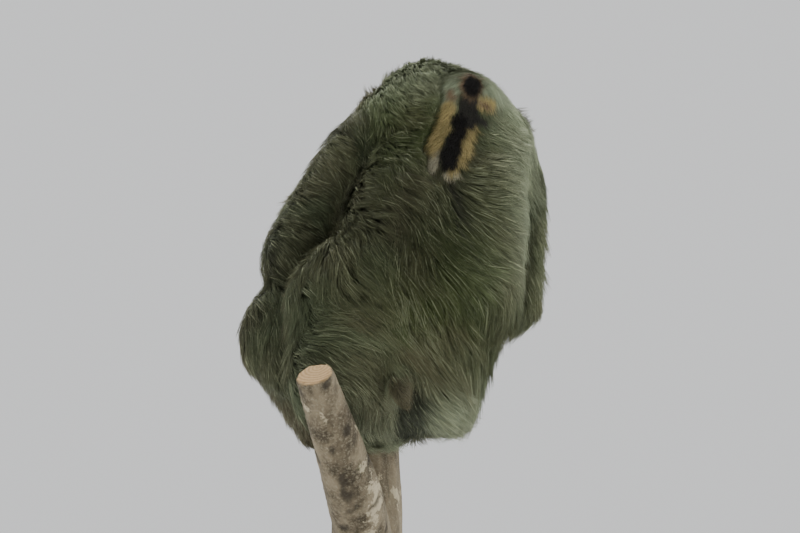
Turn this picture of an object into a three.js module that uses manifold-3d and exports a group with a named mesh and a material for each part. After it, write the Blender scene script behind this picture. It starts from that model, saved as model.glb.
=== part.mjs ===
// A male brown-throated three-toed sloth, life size, as a still museum model.
// It sits in the fork of a cut branch with its back to -Y, hugs the upright limb in front of it and
// bows its head beside that limb. A flat base and two short rods hold the branch.
// Units are millimetres, +Z up. The sloth faces +Y, so its left side is at -X.
// The solids reach out to the tips of the coat.

import * as THREE from "three";
import Module from "manifold-3d";

const wasm = await Module();
wasm.setup();

// ---------------------------------------------------------------- driving dimensions

const seatHeight = 450; // underside of the rump above the floor
const figureShift = { x: -38, y: -48 }; // sets the figure over the middle of the base
const gap = 0.35; // thin cut between neighbouring pieces
const slabSize = 600; // of that cut, wider than any limb
const sliver = 0.05; // edges that a cut leaves shorter than this are merged

const base = { width: 400, depth: 380, thickness: 26, corner: 34, bevel: 3 };
const rod = { radius: 7, spacing: 38, sides: 10 };

// The branch: an upright limb, the stem below it and the side limb that forks off. Radii at both ends.
const limb = { foot: [0, 122, -40], top: [2, 136, 392], radii: [35, 27], rings: 10, phase: 0.4 };
const stem = { foot: [16, 96, -292], bend: [4, 108, -150], radii: [44, 35], rings: 9, phase: 1.1 };
const stemHead = [1, 124, 30]; // where the stem ends, inside the upright limb
const fork = {
  foot: [0, 108, -98], bend: [-24, 16, -54], tip: [-82, -94, 46], radii: [34, 19], rings: 7, phase: 2.3,
};
const stemTrim = 8; // sawn off level above the stem's foot
const sawBlock = 80; // depth of what the saw takes away there
const branchSides = 10;
const branchOval = 0.97; // width against thickness
const swelling = { share: 0.035, waves: 9, fineShare: 0.02, fineWaves: 23 }; // of the girth along a branch

// Radii of the limbs, coat included.
const upperArm = { shoulder: 46, elbow: 37 };
const foreArm = { elbow: 36, wrist: 25 };
const palm = { wrist: 24, knuckles: 18, flatten: 1.25 };
const thigh = { hip: 52, knee: 41 };
const shank = { knee: 38, ankle: 25 };
const sole = { heel: 23, toes: 17, flatten: 1.2 };
const handClaw = { length: 74, thickness: 9.5, width: 7.5, pitch: 12.5 };
const footClaw = { length: 49, thickness: 8.5, width: 7, pitch: 11.5 };
const clawStandOff = 1.2; // between a claw and the bark
const clawDrop = 3; // from root to tip
const clawTipHalf = 1; // half thickness that the tip keeps from the bark
const clawTaper = 0.985; // share of the section's area lost from root to tip
const clawRings = 6;
const clawSides = 6;

const eye = { radius: 6, at: [19, 42, 1], standOut: 1.8, sides: 10, rings: 7 };
const tail = { base: [2, -60, 58], tip: [2, -86, 26], radii: [16, 11] };

// The head's own frame: right, forwards and up from the centre of the skull.
const headForms = {
  skull: { at: [0, -6, 3], half: [45, 46, 42] },
  face: { at: [0, 19, -9], half: [34, 26, 28] },
  muzzle: { at: [0, 40, -16], half: [19, 19, 16] },
};
const nosePad = { at: [0, 55, -11], half: [9, 6.5, 6.5] };
const nape = [0, -14, -4];
const neckRadii = [52, 42];
const neckCut = [0, -40, -6]; // where the head parts from the neck

const fillet = { trunk: 34, leftButtock: 26, rightButtock: 22, cleft: 10, head: 16, neck: 20, joint: 9 };

const trunkStep = 22; // grid steps of the faceted skin
const limbStep = 17.6;
const headStep = 10.5;
const tailStep = 9;
const noseStep = 3.6;
const margin = { trunk: 124, head: 75, tail: 30, nose: 14, limb: 72 }; // of the grids round the forms

// ---------------------------------------------------------------- the pose

const at = (x, y, z) => new THREE.Vector3(x, y, z);
const point = (numbers) => at(...numbers);
const radians = THREE.MathUtils.degToRad;

// The soft masses of the trunk, each with its three half sizes.
const masses = {
  pelvis: { at: [0, 10, 82], half: [84, 76, 68] },
  belly: { at: [22, 8, 165], half: [92, 84, 92] },
  leftFlank: { at: [-32, 12, 148], half: [66, 66, 66] },
  rightFlank: { at: [78, 14, 170], half: [56, 60, 84] },
  chest: { at: [56, 10, 262], half: [86, 79, 92] },
  withers: { at: [78, 28, 353], half: [72, 64, 82] },
  leftShoulderTop: { at: [40, 30, 374], half: [60, 54, 63] },
};
const buttocks = {
  left: { at: [-46, -12, 74], half: [50, 60, 52] },
  right: { at: [47, -12, 72], half: [50, 62, 48] },
  rightHaunch: { at: [55, 26, 80], half: [56, 56, 46] },
};
const spine = { top: [74, 20, 348], foot: [46, 6, 245], radii: [66, 78] };
const shoulderBars = { withers: 54, left: 34, right: 28 }; // radii, from the withers out to each shoulder
const neckBase = at(82, 58, 362);
const headCentre = at(84, 124, 366);
const headAngles = new THREE.Euler(radians(-30), radians(5), radians(-14), "ZYX"); // nod, tilt, turn
const headTurn = new THREE.Quaternion().setFromEuler(headAngles);

// A point of the head: right, forwards and up from the centre of the skull.
const onHead = (x, y, z) => at(x, y, z).applyQuaternion(headTurn).add(headCentre);

// The upright limb's axis and radius at a height, and a point round it: angle 0 is +X, 90 is +Y.
function limbAt(z) {
  const share = (z - limb.foot[2]) / (limb.top[2] - limb.foot[2]);
  return {
    centre: point(limb.foot).lerp(point(limb.top), share),
    radius: THREE.MathUtils.lerp(...limb.radii, share),
  };
}
function roundLimb(degrees, z, clearance) {
  const { centre, radius } = limbAt(z);
  const reach = radius + clearance;
  return centre.add(at(reach * Math.cos(radians(degrees)), reach * Math.sin(radians(degrees)), 0));
}

// Each arm and leg from its root to the knuckles or toes, and how its claws go round the limb.
const arms = {
  left: {
    shoulder: at(-8, 30, 348),
    elbow: at(-85, 74, 227),
    wrist: roundLimb(150, 352, 31),
    knuckles: roundLimb(104, 370, 15),
    claws: { from: 88, turn: -1, z: 371 },
  },
  right: {
    shoulder: at(131, 34, 326),
    elbow: at(138, 74, 186),
    wrist: roundLimb(22, 268, 31),
    knuckles: roundLimb(66, 284, 15),
    claws: { from: 82, turn: 1, z: 286 },
  },
};
const legs = {
  left: {
    hip: at(-44, 22, 80),
    knee: at(-99, 88, 152),
    ankle: roundLimb(168, 64, 20),
    toes: roundLimb(130, 52, 13),
    claws: { from: 114, turn: -1, z: 52 },
  },
  right: {
    hip: at(46, 22, 74),
    knee: at(92, 108, 128),
    ankle: roundLimb(40, 101, 21),
    toes: roundLimb(68, 95, 13),
    claws: { from: 82, turn: 1, z: 95 },
  },
};

// ---------------------------------------------------------------- fields: distances, negative inside

// A round bar from a to b, ra and rb thick at its ends, thinner by `flatten` along `normal`.
function bar(a, b, ra, rb, normal = null, flatten = 1) {
  const axis = b.clone().sub(a);
  return (p) => {
    const from = p.clone().sub(a);
    const share = THREE.MathUtils.clamp(from.dot(axis) / axis.lengthSq(), 0, 1);
    from.addScaledVector(axis, -share);
    if (normal) from.addScaledVector(normal, from.dot(normal) * (flatten - 1));
    return from.length() - THREE.MathUtils.lerp(ra, rb, share);
  };
}

// An ellipsoid of three half sizes, turned by a quaternion.
function egg(centre, halfSizes, turn = new THREE.Quaternion()) {
  const back = turn.clone().invert();
  const half = point(halfSizes);
  return (p) => {
    const q = p.clone().sub(centre).applyQuaternion(back).divide(half);
    const outer = q.length();
    const inner = q.divide(half).length();
    return inner > 0 ? (outer * (outer - 1)) / inner : -half.x;
  };
}

// The fields joined, with a fillet about `soft` wide where they meet.
function blend(soft, ...fields) {
  return (p) =>
    fields
      .map((field) => field(p))
      .reduce((a, b) => {
        const near = Math.max(soft - Math.abs(a - b), 0);
        return Math.min(a, b) - (near * near) / (4 * soft);
      });
}

// ---------------------------------------------------------------- solids

function solidOf(positions, triangles) {
  const vertProperties = Float32Array.from(positions);
  const triVerts = Uint32Array.from(triangles);
  return new wasm.Manifold(new wasm.Mesh({ numProp: 3, vertProperties, triVerts }));
}

function geometryOf(solid) {
  const mesh = solid.getMesh();
  const geometry = new THREE.BufferGeometry();
  geometry.setAttribute("position", new THREE.BufferAttribute(mesh.vertProperties, 3));
  geometry.setIndex(new THREE.BufferAttribute(mesh.triVerts, 1));
  geometry.computeVertexNormals();
  return geometry;
}

// The corners of a grid cell, and the cell's edges as pairs of corners.
const cellCorners = [...Array(8).keys()].map((i) => [i & 1, (i >> 1) & 1, i >> 2]);
const cellEdges = [];
for (let i = 0; i < 8; i++) for (const bit of [1, 2, 4]) if (!(i & bit)) cellEdges.push([i, i | bit]);

// The closed faceted surface where a field is zero, inside a box: one vertex in each grid cell that
// the surface crosses, drawn onto it, and one quad round each grid edge that it crosses.
function surfaceOf(field, box, step) {
  const low = box.min;
  const count = box.getSize(at(0, 0, 0)).divideScalar(step).ceil().addScalar(1);
  const index = (i, j, k) => (k * (count.y + 1) + j) * (count.x + 1) + i;
  const values = new Float32Array((count.x + 1) * (count.y + 1) * (count.z + 1));
  const corner = (i, j, k) => at(low.x + i * step, low.y + j * step, low.z + k * step);
  for (let k = 0; k <= count.z; k++)
    for (let j = 0; j <= count.y; j++)
      for (let i = 0; i <= count.x; i++) values[index(i, j, k)] = field(corner(i, j, k));

  const positions = [];
  const cellVertex = new Map();
  for (let k = 0; k < count.z; k++)
    for (let j = 0; j < count.y; j++)
      for (let i = 0; i < count.x; i++) {
        const here = cellCorners.map(([a, b, c]) => values[index(i + a, j + b, k + c)]);
        const crossed = cellEdges.filter(([a, b]) => here[a] < 0 !== here[b] < 0);
        if (!crossed.length) continue;
        const middle = at(0, 0, 0);
        for (const [a, b] of crossed) {
          const share = here[a] / (here[a] - here[b]);
          middle.add(point(cellCorners[a]).lerp(point(cellCorners[b]), share));
        }
        middle.divideScalar(crossed.length).multiplyScalar(step).add(corner(i, j, k));
        cellVertex.set(index(i, j, k), positions.length / 3);
        positions.push(...drawnOnto(field, middle, step / 3).toArray());
      }

  const triangles = [];
  const steps = [at(1, 0, 0), at(0, 1, 0), at(0, 0, 1)];
  for (let k = 1; k < count.z; k++)
    for (let j = 1; j < count.y; j++)
      for (let i = 1; i < count.x; i++)
        steps.forEach((along, axis) => {
          const inside = values[index(i, j, k)] < 0;
          if (inside === values[index(i + along.x, j + along.y, k + along.z)] < 0) return;
          const u = steps[(axis + 1) % 3];
          const w = steps[(axis + 2) % 3];
          const ring = [[0, 0], [1, 0], [1, 1], [0, 1]].map(([a, b]) =>
            cellVertex.get(index(i - a * u.x - b * w.x, j - a * u.y - b * w.y, k - a * u.z - b * w.z)),
          );
          if (!inside) ring.reverse();
          const place = (n) => at(positions[3 * n], positions[3 * n + 1], positions[3 * n + 2]);
          const [a, b, c, d] = ring;
          if (place(a).distanceTo(place(c)) < place(b).distanceTo(place(d))) triangles.push(a, b, c, a, c, d);
          else triangles.push(b, c, d, b, d, a);
        });
  return solidOf(positions, triangles);
}

// How fast a field rises at a point, along each axis.
function slopeOf(field, p) {
  const nudge = 0.5;
  const value = field(p);
  const rise = (x, y, z) => field(p.clone().add(at(x, y, z))) - value;
  return at(rise(nudge, 0, 0), rise(0, nudge, 0), rise(0, 0, nudge)).divideScalar(nudge);
}

// A point moved down the field's slope onto its zero surface, by `most` at the most.
function drawnOnto(field, p, most) {
  const slope = slopeOf(field, p);
  const move = slope.multiplyScalar(-field(p) / Math.max(slope.lengthSq(), 0.1));
  return p.add(move.clampLength(0, most));
}

// A solid made from a field, every corner of it moved outwards.
function swollen(solid, field, by) {
  const { vertProperties, triVerts } = solid.getMesh();
  const positions = [];
  for (let i = 0; i < vertProperties.length; i += 3) {
    const corner = point(vertProperties.subarray(i, i + 3));
    positions.push(...corner.addScaledVector(slopeOf(field, corner).normalize(), by).toArray());
  }
  return solidOf(positions, triVerts);
}

// A closed tube of circles along a curve. sectionAt(share) gives [half thickness, half width, direction of
// the thickness]; the ends are flat.
function loft(curve, rings, sides, sectionAt) {
  const positions = [];
  const triangles = [];
  for (let i = 0; i < rings; i++) {
    const share = i / (rings - 1);
    const centre = curve.getPointAt(share);
    const along = curve.getTangentAt(share);
    const [thick, wide, towards] = sectionAt(share);
    const up = towards.clone().addScaledVector(along, -towards.dot(along)).normalize();
    const across = along.clone().cross(up);
    for (let j = 0; j < sides; j++) {
      const turn = (2 * Math.PI * j) / sides;
      const rim = centre.clone().addScaledVector(up, thick * Math.cos(turn));
      positions.push(...rim.addScaledVector(across, wide * Math.sin(turn)).toArray());
    }
  }
  const name = (i, j) => i * sides + (j % sides);
  for (let i = 0; i + 1 < rings; i++)
    for (let j = 0; j < sides; j++) {
      triangles.push(name(i, j), name(i, j + 1), name(i + 1, j + 1));
      triangles.push(name(i, j), name(i + 1, j + 1), name(i + 1, j));
    }
  for (let j = 1; j + 1 < sides; j++) {
    triangles.push(name(0, 0), name(0, j + 1), name(0, j));
    triangles.push(name(rings - 1, 0), name(rings - 1, j), name(rings - 1, j + 1));
  }
  return solidOf(positions, triangles);
}

const takeAway = (solid, cutter) => solid.subtract(cutter);
const biggest = (solids) => solids.reduce((a, b) => (a.volume() > b.volume() ? a : b));
// The main body of what a cut leaves, without crumbs and without slivers along its new edges.
const largest = (solid) => biggest(solid.decompose()).simplify(sliver);

// Parts a solid with a thin cut square to `normal` at a point; gives the piece behind it and the one ahead.
function partAt(solid, where, normal) {
  const slab = new THREE.BoxGeometry(slabSize, slabSize, gap);
  const turn = new THREE.Quaternion().setFromUnitVectors(at(0, 0, 1), normal.clone().normalize());
  slab.applyQuaternion(turn).translate(where.x, where.y, where.z);
  const pieces = solid.subtract(solidFromGeometry(slab)).decompose();
  const behind = (piece) => middleOf(piece).sub(where).dot(normal) < 0;
  return [biggest(pieces.filter(behind)), biggest(pieces.filter((piece) => !behind(piece)))];
}

// The mean of a solid's corners.
function middleOf(solid) {
  const { vertProperties } = solid.getMesh();
  const sum = at(0, 0, 0);
  for (let i = 0; i < vertProperties.length; i += 3) sum.add(at(...vertProperties.subarray(i, i + 3)));
  return sum.divideScalar(vertProperties.length / 3);
}

// A closed three.js geometry as a solid: corners at one place become one vertex.
function solidFromGeometry(geometry) {
  const source = geometry.index ? geometry.toNonIndexed() : geometry;
  const corners = source.getAttribute("position");
  const known = new Map();
  const positions = [];
  const triangles = [];
  for (let i = 0; i < corners.count; i++) {
    const place = at(corners.getX(i), corners.getY(i), corners.getZ(i));
    const key = place.toArray().map((x) => Math.round(x * 1000)).join(",");
    if (!known.has(key)) {
      known.set(key, positions.length / 3);
      positions.push(...place.toArray());
    }
    triangles.push(known.get(key));
  }
  const kept = [];
  for (let i = 0; i < triangles.length; i += 3) {
    const [a, b, c] = triangles.slice(i, i + 3);
    if (a !== b && b !== c && c !== a) kept.push(a, b, c);
  }
  return solidOf(positions, kept);
}

// A box round some points, wider by a margin all round.
const boxRound = (points, margin) => new THREE.Box3().setFromPoints(points).expandByScalar(margin);

// ---------------------------------------------------------------- the branch

// A branch's girth swells and shrinks a little along its length.
function girth(share, { radii, phase }) {
  const wave = swelling.share * Math.sin(swelling.waves * share + phase);
  const fineWave = swelling.fineShare * Math.sin(swelling.fineWaves * share + phase);
  return THREE.MathUtils.lerp(...radii, share) * (1 + wave + fineWave);
}

// One length of branch through some points, `extra` thicker all round.
function branchLength(points, length, extra) {
  const curve = new THREE.CatmullRomCurve3(points.map(point));
  return loft(curve, length.rings, branchSides, (share) => {
    const radius = girth(share, length) + extra;
    return [radius, radius * branchOval, at(0.2, -1, 0.3)];
  });
}

// The whole fork as one solid, `extra` thicker all round.
function branch(extra) {
  const middle = point(limb.foot).lerp(point(limb.top), 0.5).toArray();
  const leader = branchLength([limb.foot, middle, limb.top], limb, extra);
  const stock = branchLength([stem.foot, stem.bend, limb.foot, stemHead], stem, extra);
  const side = branchLength([fork.foot, fork.bend, fork.tip], fork, extra);
  const belowFoot = new THREE.BoxGeometry(slabSize, slabSize, sawBlock);
  belowFoot.translate(0, stem.foot[1], stem.foot[2] + stemTrim - sawBlock / 2);
  return leader.add(stock).add(side).subtract(solidFromGeometry(belowFoot));
}

const perch = branch(0);
const perchClearance = branch(gap);

// ---------------------------------------------------------------- trunk, neck, head, tail

// An egg from its place and half sizes, in the figure's frame.
const mass = (form) => egg(point(form.at), form.half);
const withers = point(masses.withers.at);
const trunkField = blend(
  fillet.trunk,
  ...Object.values(masses).map(mass),
  bar(point(spine.top), point(spine.foot), ...spine.radii),
  bar(withers, arms.left.shoulder, shoulderBars.withers, shoulderBars.left),
  bar(withers, arms.right.shoulder, shoulderBars.withers, shoulderBars.right),
);
// The buttocks stand out on both sides of a cleft over the tail.
const rumpField = blend(
  fillet.cleft,
  blend(fillet.leftButtock, trunkField, mass(buttocks.left)),
  blend(fillet.rightButtock, mass(buttocks.right), mass(buttocks.rightHaunch)),
);
const bodyEnds = [point(masses.pelvis.at), withers, arms.left.shoulder, arms.right.shoulder];
const trunkWhole = surfaceOf(rumpField, boxRound(bodyEnds, margin.trunk), trunkStep);
const trunkClearance = swollen(trunkWhole, rumpField, gap);
const trunk = largest(trunkWhole.subtract(perchClearance));

const tailEnds = [point(tail.base), point(tail.tip)];
const tailWhole = surfaceOf(bar(...tailEnds, ...tail.radii), boxRound(tailEnds, margin.tail), tailStep);
const tailSolid = largest(tailWhole.subtract(trunkClearance));

const headForm = (form) => egg(onHead(...form.at), form.half, headTurn);
const skullField = blend(fillet.head, ...Object.values(headForms).map(headForm));
const headField = blend(fillet.neck, skullField, bar(neckBase, onHead(...nape), ...neckRadii));
const headBox = boxRound([neckBase, headCentre, onHead(...nosePad.at)], margin.head);
// An eye's centre, so deep in the face that the ball stands out by a little.
function eyePlace(side) {
  const [x, y, z] = eye.at;
  const onFace = drawnOnto(headField, onHead(side * x, y, z), eye.radius * 2);
  return onFace.addScaledVector(slopeOf(headField, onFace).normalize(), eye.standOut - eye.radius);
}
const eyePlaces = { left: eyePlace(-1), right: eyePlace(1) };
const eyeBall = (place, radius) =>
  solidFromGeometry(new THREE.SphereGeometry(radius, eye.sides, eye.rings).translate(...place.toArray()));
const headWhole = surfaceOf(headField, headBox, headStep);
const eyeSockets = Object.values(eyePlaces).map((place) => eyeBall(place, eye.radius + gap));
const headAndNeck = eyeSockets.reduce(takeAway, headWhole.subtract(trunkClearance));
const noseWhole = surfaceOf(headForm(nosePad), boxRound([onHead(...nosePad.at)], margin.nose), noseStep);
const nose = largest(noseWhole.subtract(swollen(headWhole, headField, gap)));
const neckPlace = onHead(...neckCut);
const neckLine = neckPlace.clone().sub(neckBase).normalize();
const [neck, head] = partAt(largest(headAndNeck), neckPlace, neckLine).map(largest);

// ---------------------------------------------------------------- arms and legs

// The hook of one claw, bent round the limb at a height. Its root points away from the knuckles.
function clawSolid(size, grip, z) {
  const { radius } = limbAt(z);
  const reach = clawStandOff + size.thickness / 2;
  const sweep = THREE.MathUtils.radToDeg(size.length / (radius + reach));
  const path = [...Array(clawRings).keys()].map((i) => {
    const share = i / (clawRings - 1);
    const lift = reach - (size.thickness / 2 - clawTipHalf) * share * share;
    return roundLimb(grip.from + grip.turn * sweep * share, z - clawDrop * share, lift);
  });
  const curve = new THREE.CatmullRomCurve3(path);
  return loft(curve, clawRings, clawSides, (share) => {
    const taper = Math.sqrt(1 - clawTaper * share);
    const towards = curve.getPointAt(share).sub(limbAt(z).centre);
    return [(size.thickness / 2) * taper, (size.width / 2) * taper, towards];
  });
}

// The three claws of a hand or foot, and the same a little fatter, to cut their sockets.
function clawSet(size, grip) {
  const heights = [1, 0, -1].map((step) => grip.z + step * size.pitch);
  const fatter = { ...size, thickness: size.thickness + gap, width: size.width + 2 * gap };
  return {
    claws: heights.map((z) => clawSolid(size, grip, z)),
    sockets: heights.map((z) => clawSolid(fatter, grip, z)),
  };
}

const soleNormal = (p) => p.clone().sub(limbAt(p.z).centre).setZ(0).normalize();

// A limb made whole, cut clear of the trunk, the branch and its neighbours, and parted at two joints.
// It gives the three pieces, and the whole limb swollen by the gap, for the next limbs to keep clear of.
function limbPieces(places, radii, flatten, neighbours) {
  const [root, bend, end, tips] = places;
  const field = blend(
    fillet.joint,
    bar(root, bend, radii[0], radii[1]),
    bar(bend, end, radii[2], radii[3]),
    bar(end, tips, radii[4], radii[5], soleNormal(tips), flatten),
  );
  const whole = surfaceOf(field, boxRound(places, margin.limb), limbStep);
  const clear = [trunkClearance, perchClearance, ...neighbours].reduce(takeAway, whole);
  const fold = bend.clone().sub(root).normalize().add(end.clone().sub(bend).normalize());
  const [first, rest] = partAt(largest(clear), bend, fold);
  const [second, third] = partAt(rest, end, end.clone().sub(bend));
  return { pieces: [first, second, third].map(largest), clearance: swollen(whole, field, gap) };
}

// ---------------------------------------------------------------- materials and the scene graph

const finish = (name, color, roughness, metalness = 0) => {
  const material = new THREE.MeshStandardMaterial({ color, roughness, metalness });
  material.name = name;
  return material;
};
const coat = finish("coat", 0x4f5a3e, 0.95);
const faceCoat = finish("face_coat", 0x9c927a, 0.95);
const horn = finish("claw_horn", 0xb9a883, 0.45);
const leather = finish("nose_leather", 0x1d1815, 0.5);
const eyeDark = finish("eye", 0x120d0a, 0.1);
const bark = finish("bark", 0x6b6250, 0.9);
const board = finish("stand_board", 0x2b2723, 0.6);
const steel = finish("stand_steel", 0x5a5c5e, 0.35, 0.9);

const part = new THREE.Group();
const figure = new THREE.Group();
figure.position.set(figureShift.x, figureShift.y, seatHeight);
part.add(figure);

function add(group, name, geometry, material) {
  const mesh = new THREE.Mesh(geometry, material);
  mesh.name = name;
  group.add(mesh);
  return mesh;
}
const addSolid = (name, solid, material) => add(figure, name, geometryOf(solid), material);

addSolid("perch", perch, bark);
addSolid("trunk", trunk, coat);
addSolid("tail", tailSolid, coat);
addSolid("neck", neck, coat);
addSolid("head", head, faceCoat);
addSolid("nose", nose, leather);
for (const side of ["left", "right"]) addSolid(`eye_${side}`, eyeBall(eyePlaces[side], eye.radius), eyeDark);

const limbKinds = [
  {
    sides: arms,
    places: (arm) => [arm.shoulder, arm.elbow, arm.wrist, arm.knuckles],
    radii: [upperArm.shoulder, upperArm.elbow, foreArm.elbow, foreArm.wrist, palm.wrist, palm.knuckles],
    names: ["upper_arm", "forearm", "hand"],
    claw: handClaw,
    flatten: palm.flatten,
  },
  {
    sides: legs,
    places: (leg) => [leg.hip, leg.knee, leg.ankle, leg.toes],
    radii: [thigh.hip, thigh.knee, shank.knee, shank.ankle, sole.heel, sole.toes],
    names: ["thigh", "shank", "foot"],
    claw: footClaw,
    flatten: sole.flatten,
  },
];
const limbs = limbKinds.flatMap((kind) =>
  Object.entries(kind.sides).map(([side, joints]) => {
    return { kind, side, joints, ...clawSet(kind.claw, joints.claws) };
  }),
);
const neighbours = limbs.flatMap((one) => one.sockets);
for (const { kind, side, joints, claws } of limbs) {
  const { pieces, clearance } = limbPieces(kind.places(joints), kind.radii, kind.flatten, neighbours);
  neighbours.push(clearance);
  pieces.forEach((piece, i) => addSolid(`${kind.names[i]}_${side}`, piece, coat));
  claws.forEach((claw, i) => addSolid(`${kind.names[2]}_claw_${side}_${i + 1}`, claw, horn));
}

// ---------------------------------------------------------------- the display stand

function roundedBoard() {
  const { width, depth, thickness, corner, bevel } = base;
  const [x, y] = [width / 2 - bevel, depth / 2 - bevel];
  const shape = new THREE.Shape();
  shape.moveTo(-x + corner, -y);
  for (const [cx, cy, turn] of [[x, -y, -90], [x, y, 0], [-x, y, 90], [-x, -y, 180]]) {
    const [mx, my] = [cx - Math.sign(cx) * corner, cy - Math.sign(cy) * corner];
    shape.absarc(mx, my, corner, radians(turn), radians(turn + 90), false);
  }
  shape.closePath();
  const depthInside = thickness - 2 * bevel;
  const made = new THREE.ExtrudeGeometry(shape, {
    depth: depthInside, bevelThickness: bevel, bevelSize: bevel, bevelSegments: 1, curveSegments: 2,
  });
  return made.translate(0, 0, bevel);
}
add(part, "stand_base", geometryOf(solidFromGeometry(roundedBoard())), board);

const perchFoot = seatHeight + stem.foot[2] + stemTrim;
const rodLength = perchFoot - base.thickness - 2 * gap;
[-1, 1].forEach((end, i) => {
  const shaft = new THREE.CylinderGeometry(rod.radius, rod.radius, rodLength, rod.sides).rotateX(Math.PI / 2);
  const mesh = add(part, `stand_rod_${i + 1}`, geometryOf(solidFromGeometry(shaft)), steel);
  mesh.position.set(
    figureShift.x + stem.foot[0] + (end * rod.spacing) / 2,
    figureShift.y + stem.foot[1],
    base.thickness + gap + rodLength / 2,
  );
});

export default part;
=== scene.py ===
"""A life-size brown-throated three-toed sloth, sitting in the fork of a cut branch on a plain stand.

One skin stands for all the flesh. It lies inside the solids by the depth of the coat, but for the swellings
listed below. Thin mesh locks grow from it, out to the solids and in places a little over them. Lengths are
in metres unless a comment or a table says mm, +Z is up and the sloth's back is at -Y.
"""

import math

import bmesh
import bpy
import numpy as np
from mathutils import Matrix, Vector
from mathutils.bvhtree import BVHTree
from mathutils.kdtree import KDTree


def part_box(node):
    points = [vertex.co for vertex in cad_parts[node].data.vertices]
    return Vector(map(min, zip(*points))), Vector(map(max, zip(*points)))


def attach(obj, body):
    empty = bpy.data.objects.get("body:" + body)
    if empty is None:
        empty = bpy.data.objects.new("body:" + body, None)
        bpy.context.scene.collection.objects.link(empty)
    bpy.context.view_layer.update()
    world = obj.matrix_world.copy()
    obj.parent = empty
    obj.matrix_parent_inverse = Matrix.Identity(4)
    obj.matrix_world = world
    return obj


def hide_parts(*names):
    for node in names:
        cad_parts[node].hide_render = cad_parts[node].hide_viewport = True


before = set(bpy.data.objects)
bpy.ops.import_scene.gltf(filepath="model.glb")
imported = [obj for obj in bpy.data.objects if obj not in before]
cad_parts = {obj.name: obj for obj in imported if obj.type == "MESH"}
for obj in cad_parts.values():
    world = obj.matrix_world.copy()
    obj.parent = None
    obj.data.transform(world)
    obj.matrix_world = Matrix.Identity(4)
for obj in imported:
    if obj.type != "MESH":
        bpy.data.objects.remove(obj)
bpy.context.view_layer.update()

MM = 0.001
SIDES = ("left", "right")
UP = np.array([0.0, 0.0, 1.0])

# ------------------------------------------------------------------ sizes

SKIN_VOXEL = 4 * MM
BARK_VOXEL = 3 * MM

# For each part, in mm: how deep the coat is, how long its locks are, and how far their tips stand over
# the solids.
COAT = {
    "trunk": {"depth": 10, "length": 42, "proud": 7},
    "tail": {"depth": 4, "length": 14, "proud": 0},
    "neck": {"depth": 9, "length": 34, "proud": 5},
    "head": {"depth": 8, "length": 24, "proud": 2},
    "upper_arm": {"depth": 7, "length": 36, "proud": 6},
    "forearm": {"depth": 6.5, "length": 34, "proud": 5},
    "hand": {"depth": 2, "length": 13, "proud": 0},
    "thigh": {"depth": 9, "length": 40, "proud": 6},
    "shank": {"depth": 7, "length": 28, "proud": 3},
    "foot": {"depth": 2, "length": 12, "proud": 0},
}

CAMERA = {"azimuth": -10, "elevation": -22, "distance": 1.5, "focal": 67.5, "sensor": 36}
AIM_FROM_TRUNK = np.array([-20.1, -11.5, -34.1]) * MM  # what the camera looks at, from the trunk's middle

# Round soft lamps: where each stands, how wide it is and its power in watts.
LAMPS = {
    "overhead": ((0.3, 0.3, 2.6), 2.0, 95),
    "left": ((-2.2, 0.2, 1.5), 1.4, 26),
    "right": ((2.2, -0.3, 1.2), 1.4, 34),
}
STUDIO_COLOUR = (0.9, 0.91, 0.92, 1)
STUDIO_LIGHT = 0.95
FLOOR_RADIUS = 6


# ------------------------------------------------------------------ meshes as arrays


def arrays_of(mesh):
    """A mesh's vertices (n, 3) and triangles (m, 3)."""
    mesh.calc_loop_triangles()
    points = np.empty(3 * len(mesh.vertices))
    faces = np.empty(3 * len(mesh.loop_triangles), dtype=np.int64)
    mesh.vertices.foreach_get("co", points)
    mesh.loop_triangles.foreach_get("vertices", faces)
    return points.reshape(-1, 3), faces.reshape(-1, 3)


def mesh_from(name, points, faces):
    """A smooth mesh of triangles from arrays."""
    mesh = bpy.data.meshes.new(name)
    mesh.vertices.add(len(points))
    mesh.vertices.foreach_set("co", np.ascontiguousarray(points, dtype=np.float32).ravel())
    mesh.loops.add(3 * len(faces))
    mesh.loops.foreach_set("vertex_index", np.ascontiguousarray(faces, dtype=np.int32).ravel())
    mesh.polygons.add(len(faces))
    mesh.polygons.foreach_set("loop_start", np.arange(0, 3 * len(faces), 3, dtype=np.int32))
    mesh.polygons.foreach_set("use_smooth", np.ones(len(faces), dtype=bool))
    mesh.update(calc_edges=True)
    return mesh


def mesh_of(name, form):
    """A mesh of what a bmesh holds, which is then let go."""
    mesh = bpy.data.meshes.new(name)
    form.to_mesh(mesh)
    form.free()
    return mesh


def tube_faces(rings, sides):
    """The triangles between neighbouring rings of corners."""
    faces = []
    for ring in range(rings - 1):
        for k in range(sides):
            a, b = ring * sides + k, ring * sides + (k + 1) % sides
            faces += [(a, b, b + sides), (a, b + sides, a + sides)]
    return faces


def set_values(mesh, name, values):
    """Keeps one number, or one vector, for each vertex of a mesh under a name."""
    kind, field = ("FLOAT_VECTOR", "vector") if values.ndim == 2 else ("FLOAT", "value")
    layer = mesh.attributes.new(name, kind, "POINT")
    layer.data.foreach_set(field, np.ascontiguousarray(values, dtype=np.float32).ravel())


def set_colours(mesh, name, colours):
    """Keeps a colour for each vertex of a mesh under a name."""
    rgba = np.ones((len(colours), 4), dtype=np.float32)
    rgba[:, :3] = colours
    mesh.color_attributes.new(name, "FLOAT_COLOR", "POINT").data.foreach_set("color", rgba.ravel())


def keep_map(mesh, corners):
    layer = mesh.uv_layers.new(name="OFBake")
    layer.uv.foreach_set("vector", np.clip(corners, 0, 1).astype(np.float32).ravel())


def shown(name, data):
    """A new object in the scene."""
    made = bpy.data.objects.new(name, data)
    bpy.context.scene.collection.objects.link(made)
    return made


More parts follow.
